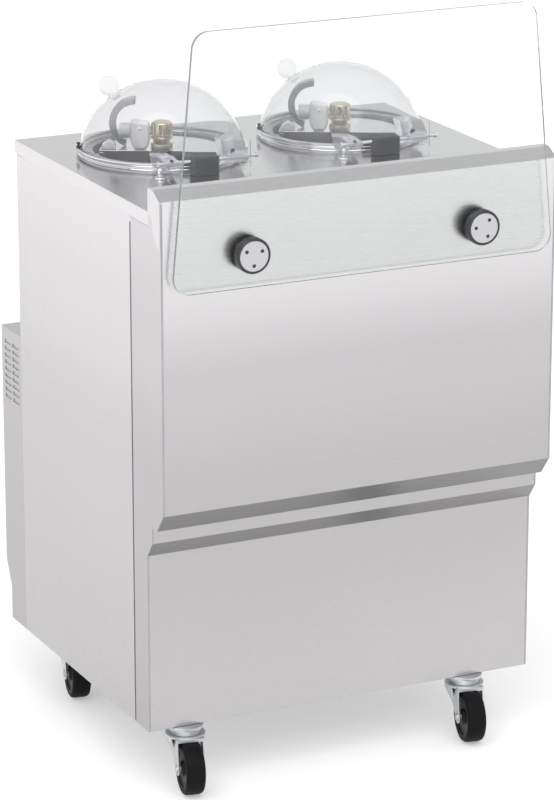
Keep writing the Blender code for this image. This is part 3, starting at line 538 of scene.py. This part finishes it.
# ---------------------------------------------------------------- bowls and agitators
RING_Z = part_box("collar_left")[1].z + GAP
COLLAR_HEIGHT = RING_Z - DECK_Z
NUT_TOP = 0.034                      # from the agitators' working plane
WORK_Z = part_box("shaft_nut_left")[1].z - NUT_TOP
RING = RING_Z - WORK_Z               # ring plane, from the working plane
TURN = math.radians(-28)             # how the agitators stand at rest
HEAD_Z = -0.020                      # head plate, from the working plane
FLOOR_Z = -0.200                     # bowl floor, from the working plane
AXIS = {side: (middle(f"collar_{side}").x, middle(f"collar_{side}").y) for side in SIDES}


def on_axis(side, turn=0.0, height=RING_Z):
    """Matrix with its origin on a bowl's axis, by default in the ring plane."""
    x, y = AXIS[side]
    return Matrix.Translation((x, y, height)) @ Matrix.Rotation(turn, 4, "Z")


def collar(side):
    top = COLLAR_HEIGHT - GAP
    profile = ([(0.1371, GAP), (0.1371, top - 0.004), (0.1465, top - 0.004), (0.1471, top - 0.0035),
                (0.1471, top - 0.0008), (0.1479, top)]
               + arc((0.1525, top - 0.0035), 0.0035, 90, 0, 8)
               + [(0.156, 0.0018), (0.1566, 0.0009), (0.1580, 0.0004), (0.1580, 0.0002)])
    ring = turned(f"collar_ring_{side}", profile, POLISHED, BODY,
                  on_axis(side, height=DECK_Z), 128)
    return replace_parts(ring, f"collar_{side}")


def bowl(side):
    outer = arc((0.1068, -0.178), 0.030, 0, -90, 9)
    inner = arc((0.1000, -0.170), 0.030, -90, 0, 9)
    lip = [(0.1300, -0.0024), (0.1306, -0.0014), (0.1316, -0.001), (0.1457, -0.001),
           (0.1463, -0.0016), (0.1463, -0.0037), (0.1368, -0.0037)]
    profile = ([(radius, RING + height) for radius, height in lip] + outer
               + [(0.012, -0.208), (0.012, FLOOR_Z)] + inner)
    shell = turned(f"bowl_shell_{side}", profile, BOWL_STEEL, BODY,
                   on_axis(side, height=WORK_Z), 128)
    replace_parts(shell, f"bowl_{side}")
    seal = [(0.0125, FLOOR_Z + 0.0002), (0.021, FLOOR_Z + 0.0002), (0.021, FLOOR_Z + 0.003),
            (0.017, FLOOR_Z + 0.007), (0.0125, FLOOR_Z + 0.007)]
    return turned(f"shaft_seal_{side}", seal, DARK, BODY,
                  on_axis(side, height=WORK_Z), 48)


def agitator(side):
    """Hub, bottom arm, wall bars with white blades, half-round head plate, white tip, ribbon."""
    body = f"{side}_agitator_set"
    place = on_axis(side, TURN, WORK_Z)
    low = FLOOR_Z + 0.010
    hub = [(0.0113, HEAD_Z), (0.0162, HEAD_Z), (0.0170, HEAD_Z - 0.0008), (0.0170, -0.150),
           (0.0185, -0.156), (0.0240, -0.165), (0.0240, low + 0.001), (0.0230, low), (0.0113, low)]
    made = turned(f"agitator_hub_{side}", hub, SCOOP, body, place, 64)
    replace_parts(made, f"agitator_{side}")

    bm = bmesh.new()
    for sign in (-1, 1):
        arm = [(sign * 0.0235, low + 0.0135), (sign * 0.0235, low + 0.001),
               (sign * 0.1180, low + 0.002), (sign * 0.1180, low + 0.0095)]
        add_slab(bm, arm, (-0.011, 0.011), "Y", place)
    piece(f"agitator_arm_{side}", bm, SCOOP, body, bevel=0.0015)
    for sign, label in ((-1, "a"), (1, "b")):
        bm = add_box(bmesh.new(), (sign * 0.113 - 0.005, -0.010, low + 0.0105),
                     (sign * 0.113 + 0.005, 0.010, HEAD_Z - 0.0045), place)
        piece(f"agitator_bar_{label}_{side}", bm, SCOOP, body, bevel=0.002)
        edge = [(sign * 0.1183, -0.007), (sign * 0.1183, 0.007), (sign * 0.1235, 0.009),
                (sign * 0.1275, 0.0125), (sign * 0.1265, 0.0055)]
        bm = add_slab(bmesh.new(), edge, (low + 0.022, HEAD_Z - 0.012), "Z", place)
        piece(f"agitator_blade_{label}_{side}", bm, WHITE, body, bevel=0.0006)

    rim = arc((0, 0), 0.118, 0, 180, 49)
    notch = arc((0, 0), 0.0172, 180, 0, 17)
    outline = ([(0.118, -0.012)] + rim + [(-0.118, -0.012), (-0.0172, -0.012)] + notch
               + [(0.0172, -0.012)])
    bm = add_slab(bmesh.new(), outline, (HEAD_Z - 0.004, HEAD_Z), "Z", place)
    piece(f"agitator_plate_{side}", bm, SCOOP, body, bevel=0.0009)

    foot = HEAD_Z + 0.0002
    outer = arc((-0.052, 0.026), 0.0490, 88, 248, 33)
    inner = arc((-0.052, 0.026), 0.0360, 244, 88, 33)
    outer = [(x, max(z, foot)) for x, z in outer]
    bm = add_slab(bmesh.new(), outer + inner, (0.014, 0.036), "Y", place)
    tip = [(-0.116, foot), (-0.086, foot), (-0.088, foot + 0.012), (-0.100, foot + 0.018),
           (-0.112, foot + 0.010)]
    tip = add_slab(bmesh.new(), tip, (-0.011, 0.010), "Y", place)
    piece(f"agitator_tip_{side}", tip, WHITE, body, bevel=0.003)
    return piece(f"agitator_ribbon_{side}", bm, RIBBON, body, bevel=0.0016)


def scraper(side):
    """White block, narrow at its foot, with a pale round boss on its outer end."""
    body, place = f"{side}_agitator_set", on_axis(side, TURN, WORK_Z)
    outline = [(-0.052, HEAD_Z + GAP), (-0.030, HEAD_Z + GAP), (-0.0225, -0.008), (-0.0225, 0.034),
               (-0.058, 0.038), (-0.060, 0.000)]
    bm = add_slab(bmesh.new(), outline, (-0.0150, 0.0110), "Y", place)
    made = piece(f"scraper_block_{side}", bm, WHITE, body, bevel=0.008)
    made.modifiers["rounding"].segments = 6
    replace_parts(made, f"scraper_{side}")
    boss = [(0.0, 0.0210)] + arc((0.0110, 0.0175), 0.0035, 90, 0, 6) + [(0.0145, 0.0), (0.0, 0.0)]
    turned(f"scraper_boss_{side}", boss, PALE, body,
           place @ facing((-1, 0, 0), (-0.0590, -0.001, 0.016)), 40)
    pin = [(0.0, 0.0022), (0.0022, 0.0020), (0.0030, 0.0012), (0.0030, -0.001), (0.0, -0.001)]
    return turned(f"scraper_pin_{side}", pin, POLISHED, body,
                  place @ facing((0, -1, 0), (-0.040, -0.0150, 0.022)), 24)


def shaft_nut(side):
    """Brass nut: ribbed head, flange line, neck, and a wide foot on the head plate."""
    def ribs(angle, radius, height):
        ribbed = 0.0105 < height < 0.0305 and radius > 0.0150
        return radius - 0.0030 * (0.5 - 0.5 * math.cos(10 * angle)) ** 3 if ribbed else radius

    top = NUT_TOP
    profile = [(0.0, top), (0.0075, top), (0.0080, top - 0.0016), (0.0135, top - 0.0012),
               (0.0150, top - 0.0002), (0.0180, top - 0.0012), (0.0196, top - 0.0032),
               (0.0200, top - 0.0050), (0.0200, 0.0110), (0.0200, 0.0100), (0.0176, 0.0088),
               (0.0176, 0.0072), (0.0208, 0.0060),
               (0.0212, 0.0052), (0.0212, 0.0030), (0.0204, 0.0022), (0.0160, 0.0018),
               (0.0160, -0.0050), (0.0204, -0.0070), (0.0210, -0.0090), (0.0210, HEAD_Z + 0.0020),
               (0.0202, HEAD_Z + GAP), (0.0, HEAD_Z + GAP)]
    nut = turned(f"shaft_nut_ribbed_{side}", profile, BRASS, f"{side}_agitator_set",
                 on_axis(side, TURN, WORK_Z), 144, ribs, sharp=24)
    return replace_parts(nut, f"shaft_nut_{side}")


# ---------------------------------------------------------------- lids and hinges
LID_RADIUS, LID_BASE, LID_RISE, LID_WALL = 0.155, 0.012, 0.118, 0.003
ROD_LOW, ROD_HIGH = {}, {}
for hand in SIDES:
    ROD_LOW[hand], ROD_HIGH[hand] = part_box(f"hinge_rod_{hand}")


def cap(radius, rise, count, grow=0.0):
    """Points down a spherical cap from its top to its rim, optionally offset outwards."""
    sphere = (radius ** 2 + rise ** 2) / (2 * rise)
    centre = LID_BASE + rise - sphere
    start = math.degrees(math.asin((LID_BASE - centre) / sphere))
    points = arc((0, centre), sphere + grow, 90, start, count)
    return [(0.0, points[0][1])] + points[1:]


def baked(target, operation, tool):
    """Apply a boolean, then drop the tool."""
    change = target.modifiers.new("shape", "BOOLEAN")
    change.operation, change.solver, change.object = operation, "EXACT", tool
    bpy.context.view_layer.update()
    seen = target.evaluated_get(bpy.context.evaluated_depsgraph_get())
    mesh = bpy.data.meshes.new_from_object(seen)
    target.modifiers.remove(change)
    target.data = mesh
    bpy.data.objects.remove(tool, do_unlink=True)
    return target


def tool_from(bm):
    bmesh.ops.recalc_face_normals(bm, faces=bm.faces)
    mesh = bpy.data.meshes.new("tool")
    bm.to_mesh(mesh)
    bm.free()
    made = bpy.data.objects.new("tool", mesh)
    bpy.context.scene.collection.objects.link(made)
    return made


def dome(side):
    body, place = f"{side}_lid", on_axis(side)
    profile = (cap(LID_RADIUS, LID_RISE, 33)
               + [(0.1550, 0.0078), (0.1555, 0.0066), (0.1566, 0.0060), (0.1586, 0.0060),
                  (0.1586, GAP), (0.1520, GAP)]
               + cap(LID_RADIUS - LID_WALL, LID_RISE - LID_WALL, 33)[::-1])
    shell = turned(f"dome_shell_{side}", profile, DOME, body, place, 128, sharp=50)
    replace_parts(shell, f"dome_lid_{side}")
    hoop = [(0.1588, 0.0062), (0.1608, 0.0066), (0.1618, 0.0058), (0.1620, 0.0046),
            (0.1620, 0.0016), (0.1614, 0.0006), (0.1588, 0.0004)]
    turned(f"lid_hoop_{side}", hoop, POLISHED, body, place, 128)
    bead = [(0.1523, 0.0006), (0.1516, 0.0002), (0.1475, 0.0002), (0.1475, 0.0026),
            (0.1516, 0.0026)]
    return turned(f"lid_seal_{side}", bead[::-1], WHITE, body, place, 128)


def lug(side, label, low, high, rise):
    """Clear hinge arm from the rod up to the dome, hollowed where the dome and flange are."""
    body, place = f"{side}_lid", on_axis(side)
    rod_y = (ROD_LOW[side].y + ROD_HIGH[side].y) / 2 - AXIS[side][1]
    rod_z = (ROD_LOW[side].z + ROD_HIGH[side].z) / 2 - RING_Z
    outline = (arc((rod_y, rod_z), 0.0085, 150, 300, 12)
               + [(rod_y + 0.020, 0.0010), (-0.120, 0.0010), (-0.120, rise)]
               + arc((rod_y + 0.020, rise - 0.006), 0.006, 90, 140, 5))
    bm = add_slab(bmesh.new(), outline, (low, high), "X", place)
    arm = piece(f"lid_lug_{label}_{side}", bm, MOULDED, body)
    solid = ([(0.0, -0.02), (0.1624, -0.02), (0.1624, 0.0070), (0.1554, 0.0070)]
             + cap(LID_RADIUS, LID_RISE, 33, 0.0003)[::-1])
    baked(arm, "DIFFERENCE", tool_from(revolve(bmesh.new(), solid, place, 96)))
    bore = revolve(bmesh.new(), [(0.0, 0.2), (0.0037, 0.2), (0.0037, -0.2), (0.0, -0.2)],
                   place @ facing((1, 0, 0), (0, rod_y, rod_z)), 32)
    baked(arm, "DIFFERENCE", tool_from(bore))
    arm.data.shade_smooth()
    arm.data.set_sharp_from_angle(angle=math.radians(32))
    round_off = arm.modifiers.new("rounding", "BEVEL")
    round_off.width, round_off.segments = 0.0008, 2
    round_off.limit_method, round_off.angle_limit = "ANGLE", math.radians(40)
    slope = Vector((0, -0.775, 0.632))
    x = low + (high - low) * (0.5 if label == "left" else 0.26)
    spot = place @ Vector((x, rod_y - 0.001, rod_z + (rise - rod_z) * 0.5))
    head = [(0.0, 0.0026), (0.0022, 0.0026), (0.0036, 0.0016), (0.0040, 0.0), (0.0026, -0.0002),
            (0.0026, -0.010), (0.0, -0.010)]
    turned(f"lug_screw_{label}_0_{side}", head, PAINT, body,
           facing(slope, spot), 24)
    return arm


def knob(side):
    """Clear ball on a short stem, square to the dome."""
    body = f"{side}_lid"
    turn, tilt = math.radians(115), math.radians(45)
    outward = Vector((math.cos(turn) * math.cos(tilt), math.sin(turn) * math.cos(tilt),
                      math.sin(tilt)))
    sphere = (LID_RADIUS ** 2 + LID_RISE ** 2) / (2 * LID_RISE)
    centre = on_axis(side) @ Vector((0, 0, LID_BASE + LID_RISE - sphere))
    seat = facing(outward, centre + outward * (sphere + 0.0004))
    ball = arc((0, 0.025), 0.0195, 90, -60, 25)
    profile = ([(0.0, 0.0445)] + ball[1:] + [(0.0084, 0.0060), (0.0082, 0.0024), (0.0092, 0.0006),
                                             (0.0, 0.0006)])
    made = turned(f"knob_ball_{side}", profile, KNOB, body, seat, 48)
    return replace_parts(made, f"lid_knob_{side}")


def hinge(side):
    """Rod with end caps, its two-tone block, end post, and the pin at its right end."""
    lid, low, high = f"{side}_lid", ROD_LOW[side], ROD_HIGH[side]
    y, z, length = (low.y + high.y) / 2, (low.z + high.z) / 2, high.x - low.x
    start = facing((1, 0, 0), (low.x, y, z))
    rod = [(0.0, 0.0), (0.0045, 0.0003), (0.0052, 0.0012), (0.0052, 0.0045), (0.0035, 0.0050),
           (0.0035, length - 0.0050), (0.0052, length - 0.0045), (0.0052, length - 0.0012),
           (0.0045, length - 0.0003), (0.0, length)]
    made = turned(f"hinge_bar_{side}", rod, POLISHED, lid, start, 40)
    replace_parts(made, f"hinge_rod_{side}")

    low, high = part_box(f"hinge_block_{side}")
    low = low + Vector((0.0120, 0, 0))
    high = Vector((high.x, high.y, z + 0.0090))
    block = piece(f"hinge_housing_{side}", add_box(bmesh.new(), low, high), BLACK, BODY,
                  bevel=0.0028)
    bore = revolve(bmesh.new(), [(0.0, 0.1), (0.0040, 0.1), (0.0040, -0.1), (0.0, -0.1)],
                   facing((1, 0, 0), ((low.x + high.x) / 2, y, z)), 32)
    block.modifiers.clear()
    baked(block, "DIFFERENCE", tool_from(bore))
    block.data.shade_smooth()
    block.data.set_sharp_from_angle(angle=math.radians(32))
    soften = block.modifiers.new("rounding", "BEVEL")
    soften.width, soften.segments, soften.limit_method = 0.0024, 3, "ANGLE"
    soften.angle_limit = math.radians(40)
    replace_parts(block, f"hinge_block_{side}")
    left, right = low.x + 0.005, high.x - 0.006
    plates = {"front": ((left, low.y - 0.0007, low.z + 0.003),
                        (right, low.y + 0.001, high.z - 0.0045)),
              "top": ((left, low.y + 0.005, high.z - 0.001),
                      (right, high.y - 0.005, high.z + 0.0006))}
    for label, corners in plates.items():
        piece(f"hinge_plate_{label}_{side}", add_box(bmesh.new(), *corners), GREY_BLOCK, BODY,
              bevel=0.0005)

    post_x = ROD_LOW[side].x + 0.0052
    top = z - 0.0056 - DECK_Z
    post = [(0.0, top), (0.0034, top), (0.0042, top - 0.0014), (0.0042, 0.0075), (0.0068, 0.0070),
            (0.0068, 0.0034), (0.0100, 0.0030), (0.0105, 0.0022), (0.0105, 0.0003), (0.0, 0.0003)]
    turned(f"hinge_post_{side}", post, POLISHED, BODY,
           Matrix.Translation((post_x, y - 0.004, DECK_Z)), 32)

    pin_x = AXIS[side][0] + 0.0885
    stem = [(pin_x, y - 0.0052, z + 0.030), (pin_x, y - 0.0052, z + 0.004),
            (pin_x + 0.0006, y - 0.0052, z - 0.012), (pin_x - 0.001, y - 0.0050, z - 0.0205)]
    wire(f"hinge_pin_{side}", stem, 0.0009, POLISHED, lid)
    loop = [(pin_x - 0.0010, y - 0.0052, z - 0.010), (pin_x - 0.012, y - 0.0060, z - 0.0135),
            (pin_x - 0.022, y - 0.0055, z - 0.0110), (pin_x - 0.013, y - 0.0050, z - 0.0085),
            (pin_x - 0.0010, y - 0.0052, z - 0.0105)]
    return wire(f"hinge_pin_bow_{side}", loop, 0.0008, ZINC, lid)


def flange_bolt(side):
    """Small bolt on the lid's flange, at its outer left."""
    angle = math.radians(165)
    spot = on_axis(side) @ Vector((0.1588 * math.cos(angle), 0.1588 * math.sin(angle), 0.0064))
    profile = [(0.0, 0.0110), (0.0026, 0.0110), (0.0034, 0.0102), (0.0034, 0.0078),
               (0.0022, 0.0074), (0.0022, 0.0050), (0.0036, 0.0045), (0.0040, 0.0038),
               (0.0040, 0.0003), (0.0, 0.0003)]
    return turned(f"lid_bolt_{side}", profile, PAINT, f"{side}_lid",
                  Matrix.Translation(spot), 24)


for hand in SIDES:
    collar(hand)
    bowl(hand)
    agitator(hand)
    scraper(hand)
    shaft_nut(hand)
    finish_node(f"drive_shaft_{hand}", POLISHED)
    finish_node(f"gearmotor_{hand}", PAINT)
    dome(hand)
    lug(hand, "right", 0.044, 0.084, 0.045)
    lug(hand, "left", -0.082, -0.054, 0.025)
    knob(hand)
    hinge(hand)
    flange_bolt(hand)

# ---------------------------------------------------------------- machinery
FINS = Shader("condenser_fins", (0.48, 0.49, 0.50), 0.45, 1.0)
WAVE = FINS.nodes.new("ShaderNodeTexWave")
WAVE.inputs["Scale"].default_value = 120.0
FINS.links.new(FINS.coordinates(), WAVE.inputs["Vector"])
FINS.vary_colour(WAVE.outputs["Fac"], 0.7)
FINS.bump(WAVE.outputs["Fac"], 0.001, 0.8)
finish_node("condenser", FINS.material)
finish_node("condenser_fan", ALUMINIUM)
finish_node("fan_motor", PAINT)
finish_node("electrical_box", PAINT)
finish_node("compressor", SHELL)


# ---------------------------------------------------------------- operator's side
def screw(name, spot, direction, radius=0.0036, body=BODY):
    """Pan-head screw with a round recess."""
    head = [(0.0, 0.0008), (radius * 0.35, 0.0008), (radius * 0.42, radius * 0.50),
            (radius * 0.75, radius * 0.42), (radius, radius * 0.12), (radius, 0.0), (0.0, 0.0)]
    return turned(name, head, POLISHED, body, facing(direction, spot), 24)


def controls():
    low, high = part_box("control_panel")
    finish_node("control_panel", BLACK, 0.0006)
    face = high.y
    for index, (x, z) in enumerate((x, z) for z in (low.z, high.z) for x in (low.x, high.x)):
        spot = (x - math.copysign(0.009, x), face, z + (0.009 if z == low.z else -0.009))
        screw(f"panel_screw_{index}", spot, (0, 1, 0), 0.003)
    for side, sign in SIDES.items():
        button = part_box(f"start_button_{side}")
        x, z = (button[0].x + button[1].x) / 2, (button[0].z + button[1].z) / 2
        place = facing((0, 1, 0), (x, button[0].y, z))
        depth = button[1].y - button[0].y
        profile = ([(0.0, depth), (0.006, depth - 0.0002), (0.010, depth - 0.0008)]
                   + arc((0.0122, depth - 0.0038), 0.0016, 80, 0, 5) + [(0.0138, 0.0), (0.0, 0.0)])
        made = turned(f"button_cap_{side}", profile, GREEN, f"{side}_start_button",
                      place, 48)
        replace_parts(made, f"start_button_{side}")
        ring = [(0.0148, 0.0001), (0.0195, 0.0001), (0.0195, 0.0014), (0.0185, 0.0022),
                (0.0158, 0.0022), (0.0148, 0.0014)]
        turned(f"button_bezel_{side}", ring, POLISHED, BODY,
               facing((0, 1, 0), (x, face, z)), 48)
        window = add_box(bmesh.new(), (x - sign * 0.075 - 0.024, face - 0.001, z - 0.014),
                         (x - sign * 0.075 + 0.024, face + 0.0008, z + 0.014))
        piece(f"display_window_{side}", window, WINDOW, BODY, bevel=0.0004)

    centre = middle("main_switch")
    low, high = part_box("main_switch")
    base = facing((0, 1, 0), (centre.x, low.y, centre.z))
    disc = ([(0.0, 0.0114)] + arc((0.0160, 0.0098), 0.0016, 90, 0, 5)
            + [(0.0179, 0.001), (0.0179, 0.0), (0.0, 0.0)])
    made = turned("switch_disc", disc, BLACK, "switch", base, 48)
    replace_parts(made, "main_switch")
    bar = [(-0.0030, -0.015), (0.0030, -0.015), (0.0042, -0.008), (0.0042, 0.008), (0.0022, 0.0162),
           (-0.0022, 0.0162), (-0.0042, 0.008), (-0.0042, -0.008)]
    bar = [(centre.x + a, centre.z + b) for a, b in bar]
    bm = add_slab(bmesh.new(), bar, (low.y + 0.0112, high.y), "Y")
    piece("switch_bar", bm, BLACK, "switch", bevel=0.0012)
    mark = add_box(bmesh.new(), (centre.x - 0.0006, high.y - 0.0006, centre.z + 0.004),
                   (centre.x + 0.0006, high.y + 0.0002, centre.z + 0.0145))
    piece("switch_mark", mark, WHITE, "switch")
    ring = [(0.0190, 0.0001), (0.0235, 0.0001), (0.0235, 0.0012), (0.0228, 0.0018),
            (0.0196, 0.0018), (0.0190, 0.0012)]
    turned("switch_bezel", ring, POLISHED, BODY,
           facing((0, 1, 0), (centre.x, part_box("control_panel")[1].y, centre.z)), 48)


WINDOW = plastic("display_glass", (0.008, 0.010, 0.012), 0.08, grain=20.0, depth=0.00001)
controls()
for index, (x, z) in enumerate((sx * a, b) for sx in (-1, 1) for a, b in
                               ((0.385, 0.270), (0.385, 0.500), (0.385, 0.715), (0.13, 0.715))):
    screw(f"housing_screw_{index}", (x, BACK_Y, z), (0, 1, 0))
for index, (x, z) in enumerate((sx * 0.385, b) for sx in (-1, 1) for b in (0.80, 0.92, 1.06)):
    screw(f"rear_screw_{index}", (x, REAR_Y, z), (0, 1, 0))


# ---------------------------------------------------------------- casters
def swept(bm, profile, start, end, count, place):
    """A closed (radius, height) profile carried part of the way round Z, with closed ends."""
    rings = []
    for i in range(count):
        angle = math.radians(start + (end - start) * i / (count - 1))
        rings.append([bm.verts.new(place @ Vector((r * math.cos(angle), r * math.sin(angle), z)))
                      for r, z in profile])
    for near, far in zip(rings, rings[1:]):
        for i in range(len(profile)):
            j = (i + 1) % len(profile)
            bm.faces.new((near[i], near[j], far[j], far[i]))
    bm.faces.new(rings[0])
    bm.faces.new(rings[-1])
    return bm


def hexagon(angle, radius, height):
    """Flatten the nut's wall to six sides."""
    if not 0.006 < radius < 0.007:
        return radius
    return radius * math.cos(math.pi / 6) / math.cos((angle % (math.pi / 3)) - math.pi / 6)


def caster(end, side):
    """Race, pressed fork with a rounded skirt, axle nuts and wheel, turned on its swivel."""
    name = f"{end}_{side}"
    fork, wheel = f"{name}_fork", f"{name}_wheel"
    stem, hub = middle(f"caster_stem_{name}"), middle(f"caster_wheel_{name}")
    turn = math.atan2(hub.x - stem.x, stem.y - hub.y)
    place = Matrix.Translation((stem.x, stem.y, 0)) @ Matrix.Rotation(turn, 4, "Z")
    trail = math.hypot(hub.x - stem.x, hub.y - stem.y)
    axle = (-trail, hub.z)

    race = [(0.0, 0.153), (0.0052, 0.153), (0.006, 0.1522), (0.006, 0.1247), (0.0325, 0.1247),
            (0.034, 0.1238), (0.034, 0.1212), (0.0330, 0.1190), (0.0302, 0.1120), (0.0298, 0.1088),
            (0.0, 0.1088)]
    made = turned(f"caster_race_{name}", race, ZINC, BODY, place, 64)
    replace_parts(made, f"caster_stem_{name}")

    crown = [(0.0, 0.1080), (0.0358, 0.1080), (0.0373, 0.1075), (0.0380, 0.1063), (0.0380, 0.1045),
             (0.0373, 0.1035), (0.0, 0.1035)]
    made = turned(f"fork_crown_{name}", crown, ZINC, fork, place, 64)
    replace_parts(made, f"caster_fork_{name}")
    skirt = [(0.0378, 0.1050), (0.0378, 0.1005), (0.0366, 0.0955), (0.0335, 0.0880),
             (0.0298, 0.0805), (0.0278, 0.0765), (0.0258, 0.0772), (0.0278, 0.0815),
             (0.0312, 0.0888), (0.0342, 0.0962), (0.0353, 0.1010), (0.0353, 0.1050)]
    piece(f"fork_skirt_{name}", swept(bmesh.new(), skirt, -34, 214, 64, place), ZINC, fork)
    outline = (arc(axle, 0.0125, 195, 340, 16)
               + [(-0.0140, 0.0640), (0.0080, 0.0772), (0.0215, 0.0860), (0.0250, 0.0950),
                  (0.0250, 0.1055), (axle[0] - 0.0005, 0.1055), (axle[0] - 0.0030, 0.0900)])
    bm = add_box(bmesh.new(), (-0.0262, axle[0] - 0.0012, 0.1006),
                 (0.0262, axle[0] + 0.0012, 0.1062), place)
    add_box(bm, (-0.0262, axle[0] - 0.0012, 0.1038), (0.0262, 0.0240, 0.1066), place)
    piece(f"fork_lip_{name}", bm, ZINC, fork, bevel=0.0008)
    for sign, label in ((-1, "a"), (1, "b")):
        across = sorted((sign * 0.0231, sign * 0.0260))
        arm = add_slab(bmesh.new(), outline, across, "X", place)
        piece(f"fork_arm_{label}_{name}", arm, ZINC, fork, bevel=0.0010)
        outside = place @ facing((sign, 0, 0), (sign * 0.0260, *axle))
        nut = [(0.0, 0.0032), (0.0042, 0.0032), (0.0064, 0.0027), (0.0068, 0.0022),
               (0.0068, 0.0007), (0.0094, 0.0006), (0.0094, 0.0001), (0.0, 0.0001)]
        turned(f"axle_nut_{label}_{name}", nut, ZINC, fork, outside, 48, hexagon, sharp=20)
        spacer = [(0.0, -0.0002), (0.0085, -0.0002), (0.0085, -0.0036), (0.0, -0.0036)]
        turned(f"axle_spacer_{label}_{name}", spacer, ZINC, fork,
               place @ facing((sign, 0, 0), (sign * 0.0231, *axle)), 32)

    spin = place @ facing((1, 0, 0), (0, *axle))
    half = [(0.0410, 0.0186), (0.0440, 0.0186), (0.0470, 0.0172), (0.0489, 0.0146),
            (0.0498, 0.0105), (0.0500, 0.0055)]
    tread = ([(0.0386, 0.0178)] + half + [(r, -z) for r, z in half[::-1]] + [(0.0386, -0.0178)])
    made = turned(f"wheel_tread_{name}", tread, RUBBER, wheel, spin, 96)
    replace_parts(made, f"caster_wheel_{name}")
    disc = [(0.0061, 0.0186), (0.0130, 0.0186), (0.0142, 0.0176), (0.0160, 0.0150),
            (0.0330, 0.0138), (0.0350, 0.0146), (0.0364, 0.0172), (0.0385, 0.0177)]
    disc = disc + [(r, -z) for r, z in disc[::-1]]
    turned(f"wheel_disc_{name}", disc, HUB, wheel, spin, 72)
    return made


HUB = plastic("black_hub", (0.009, 0.009, 0.010), 0.40, grain=200.0, specular=0.16)
for corner_end in ("front", "rear"):
    for hand in SIDES:
        caster(corner_end, hand)

# ---------------------------------------------------------------- stage, light and camera
bm = bmesh.new()
bmesh.ops.create_grid(bm, x_segments=1, y_segments=1, size=30.0)
mesh = bpy.data.meshes.new("floor")
bm.to_mesh(mesh)
bm.free()
floor = bpy.data.objects.new("floor", mesh)
bpy.context.scene.collection.objects.link(floor)
FLOOR = Shader("floor_white", (0.68, 0.67, 0.67), 0.9, Emission_Strength=0.35)
FLOOR.set("Emission Color", (1.0, 1.0, 1.0, 1.0))
mesh.materials.append(FLOOR.material)

world = bpy.data.worlds.new("studio")
bpy.context.scene.world = world
world.use_nodes = True
tree = world.node_tree
height = tree.nodes.new("ShaderNodeSeparateXYZ")
coordinate = tree.nodes.new("ShaderNodeTexCoord")
ramp = tree.nodes.new("ShaderNodeValToRGB")
tree.links.new(coordinate.outputs["Generated"], height.inputs["Vector"])
tree.links.new(height.outputs["Z"], ramp.inputs["Fac"])
tree.links.new(ramp.outputs["Color"], tree.nodes["Background"].inputs["Color"])
stops = ramp.color_ramp.elements
stops[0].position, stops[0].color = 0.0, (1.0, 1.0, 1.0, 1)
stops[1].position, stops[1].color = 0.9, (0.70, 0.70, 0.71, 1)
middle_stop = stops.new(0.30)
middle_stop.color = (0.88, 0.88, 0.89, 1)
tree.nodes["Background"].inputs["Strength"].default_value = 1.05

sun_data = bpy.data.lights.new("key", "SUN")
sun_data.energy = 1.5
sun_data.angle = math.radians(60)
sun = bpy.data.objects.new("key", sun_data)
sun.rotation_euler = (math.radians(28), math.radians(-18), 0)
bpy.context.scene.collection.objects.link(sun)

LENS, CAMERA_DOWN, CAMERA_AROUND = 163.6, 17.02, 25.81   # millimetres, degrees, degrees
camera_data = bpy.data.cameras.new("camera")
camera_data.lens = LENS
camera_data.clip_end = 100
camera = bpy.data.objects.new("camera", camera_data)
camera.location = (-2.911, -6.034, 2.684)
camera.rotation_euler = (math.radians(90 - CAMERA_DOWN), 0, math.radians(-CAMERA_AROUND))
bpy.context.scene.collection.objects.link(camera)
bpy.context.scene.camera = camera
bpy.context.scene.view_settings.view_transform = "Standard"
